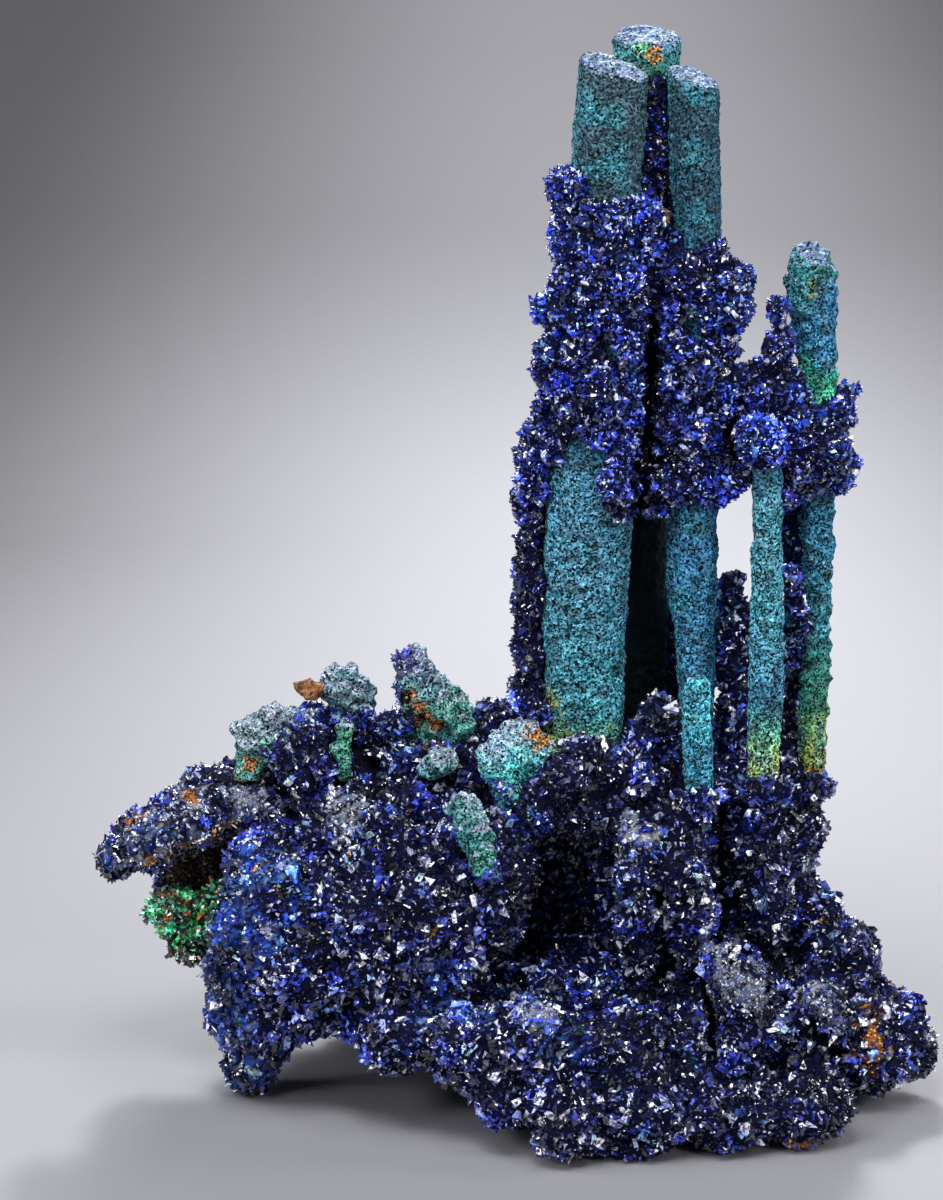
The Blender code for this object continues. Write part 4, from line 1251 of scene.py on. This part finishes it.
class SPECIMEN_OT_knobs(bpy.types.Operator):
    """Gives the low malachite knobs their lumpy skins, and the azurite and limonite on them"""

    bl_idname = "specimen.knobs"
    bl_label = "Malachite Knobs"

    def execute(self, context):
        skin = Skin(context.scene.druse_sizes.skin_grid, 3, KNOB_SWELLS, KNOB_TOP_TONES, 0.8, 0)
        knobs = [dress_skin(node, node + "_skin", skin, 80 + 5 * i) for i, node in enumerate(KNOBS)]
        habit = Habit(0.95 * MM, 0.62 * MM, (0.5, 0.9), 0.7, 0.35)
        climbing = [(CLIMB_PATCHES, MATRIX_TONES)]
        grow_patches("azurite_knob_crystals", knobs, habit, climbing, COLUMNS, 120, 0.2)
        limonite_lump("limonite_lump_low", (-33.6, 7.6, 65.6), (2.3, 1.7, 1.7), 131)
        limonite_lump("limonite_lump_high", (22.2, 3.4, 145.2), (1.2, 1.2, 1.7), 141)
        return {"FINISHED"}


class SPECIMEN_OT_cavity(bpy.types.Operator):
    """Grows the green crystals in the hollow under the left ledge"""

    bl_idname = "specimen.cavity"
    bl_label = "Malachite Crystals"

    def execute(self, context):
        rng = np.random.default_rng(61)
        ground = solid_copy("cavity_crystals", CAVITY, 0.5 * MM, 5)
        points = points_of(ground.data)
        points += normals_of(ground.data) * (waves(points, 3 * MM, 62)[:, None] * 0.5 - 1.0) * MM
        move_points(ground.data, points)
        places, normals = seats(ground.data, 0.72 * MM, rng)
        count = len(places)
        axes = unit(normals + rng.normal(size=(count, 3)) * 0.6)
        long = rng.uniform(0.8, 2.0, size=count) * MM
        sizes = np.stack([long * 0.55, long * 0.4, long], axis=1)
        crystal = chisel(0.5, 0.8, 0.6)
        crystals = copies(crystal, places - axes * long[:, None] * 0.5, axes, sizes, rng)
        colours = pick_tones(GREEN_TONES, count, rng)
        # The lowest crystals are dark, and so are some clusters.
        low = (places[:, 2] - places[:, 2].min()) / (5 * MM) < rng.random(count)
        retone(colours, low, DARK_TONES, rng)
        colours *= np.exp(0.5 * waves(places, 3 * MM, 63))[:, None]
        hues = np.repeat(colours, len(crystal[0]), axis=0)
        whole = new_object("cavity_crystals", *joined([(points, triangles_of(ground.data)), crystals]))
        ground_colours = np.tile(np.array(linear("0e2a1c")), (len(points), 1))
        bpy.data.objects.remove(ground)
        whole.name = "cavity_crystals"
        paint(whole, np.concatenate([ground_colours, hues]), 0.25)
        settle(whole, "azurite", "malachite_crystals", CAVITY)
        return {"FINISHED"}


# Stage


def make_floor(colours):
    """A floor that bends up into a backdrop behind the object."""
    bm = bmesh.new()
    bmesh.ops.create_grid(bm, x_segments=1, y_segments=1, size=FLOOR_REACH)
    edge = [e for e in bm.edges if all(v.co.y > 0 for v in e.verts)]
    for vert in edge[0].verts:
        vert.co.y = BEND_START
    for turn in range(1, BEND_STEPS + 1):
        angle = math.pi / 2 * turn / BEND_STEPS
        grown = bmesh.ops.extrude_edge_only(bm, edges=edge)["geom"]
        edge = [e for e in grown if isinstance(e, bmesh.types.BMEdge)]
        for vert in {v for e in edge for v in e.verts}:
            vert.co.y = BEND_START + BEND_RADIUS * math.sin(angle)
            vert.co.z = BEND_RADIUS * (1 - math.cos(angle))
    grown = bmesh.ops.extrude_edge_only(bm, edges=edge)["geom"]
    for vert in [v for v in grown if isinstance(v, bmesh.types.BMVert)]:
        vert.co.z = BACKDROP_TOP
    floor = object_from(bm, "floor")
    for face in floor.data.polygons:
        face.use_smooth = True
    floor.data.materials.append(make_material("Paper, matt studio backdrop", studio_paper, colours))


def around(azimuth, elevation, distance):
    """The way to a light: azimuth 0 is in front of what it faces, and 90 to its right."""
    a, e = math.radians(azimuth), math.radians(elevation)
    return Vector((math.sin(a) * math.cos(e), -math.cos(a) * math.cos(e), math.sin(e))) * distance


def add_softbox(name, box):
    """A square light that faces its target."""
    light = bpy.data.lights.new(name, "AREA")
    light.size = box.size
    light.energy = box.radiance * math.pi * box.size**2
    away = around(box.azimuth, box.elevation, box.distance)
    lamp = linked(name, light)
    lamp.location = Vector(box.target) + away
    lamp.rotation_euler = (-away).to_track_quat("-Z", "Y").to_euler()


class SPECIMEN_OT_stage(bpy.types.Operator):
    """Sets the pale floor, the soft lights and the camera"""

    bl_idname = "specimen.stage"
    bl_label = "Studio Stage"

    def execute(self, context):
        scene = context.scene
        make_floor(scene.specimen_colours)
        for name, box in SOFTBOXES.items():
            add_softbox(name, box)

        world = bpy.data.worlds.new("Studio")
        world.use_nodes = True
        background = world.node_tree.nodes["Background"]
        background.inputs["Color"].default_value = (*linear(SKY), 1)
        background.inputs["Strength"].default_value = SKY_STRENGTH
        scene.world = world
        scene.view_settings.view_transform = "Standard"

        camera = bpy.data.cameras.new("camera")
        camera.sensor_width = SENSOR_WIDTH
        camera.lens = LENS
        eye = linked("camera", camera)
        eye.location = Vector(EYE) * MM
        eye.rotation_euler = (math.radians(EYE_TILT), 0, 0)
        scene.camera = eye
        return {"FINISHED"}


STEPS = (
    SPECIMEN_OT_crown,
    SPECIMEN_OT_matrix,
    SPECIMEN_OT_stalactites,
    SPECIMEN_OT_knobs,
    SPECIMEN_OT_cavity,
    SPECIMEN_OT_stage,
)


class SPECIMEN_PT_panel(bpy.types.Panel):
    """Lists the steps that build the specimen"""

    bl_idname = "SPECIMEN_PT_panel"
    bl_label = "Azurite Specimen"
    bl_space_type = "VIEW_3D"
    bl_region_type = "UI"
    bl_category = "Specimen"

    def draw(self, context):
        column = self.layout.column()
        for settings in (context.scene.druse_sizes, context.scene.specimen_colours):
            for name in type(settings).__annotations__:
                column.prop(settings, name)
        for step in STEPS:
            column.operator(step.bl_idname)


CLASSES = (DruseSizes, SpecimenColours, *STEPS, SPECIMEN_PT_panel)


def register():
    for cls in CLASSES:
        bpy.utils.register_class(cls)
    bpy.types.Scene.druse_sizes = bpy.props.PointerProperty(type=DruseSizes)
    bpy.types.Scene.specimen_colours = bpy.props.PointerProperty(type=SpecimenColours)


def unregister():
    del bpy.types.Scene.specimen_colours
    del bpy.types.Scene.druse_sizes
    for cls in reversed(CLASSES):
        bpy.utils.unregister_class(cls)


def main():
    register()
    bpy.ops.specimen.crown()
    bpy.ops.specimen.matrix()
    bpy.ops.specimen.stalactites()
    bpy.ops.specimen.knobs()
    bpy.ops.specimen.cavity()
    bpy.ops.specimen.stage()


if __name__ == "__main__":
    main()
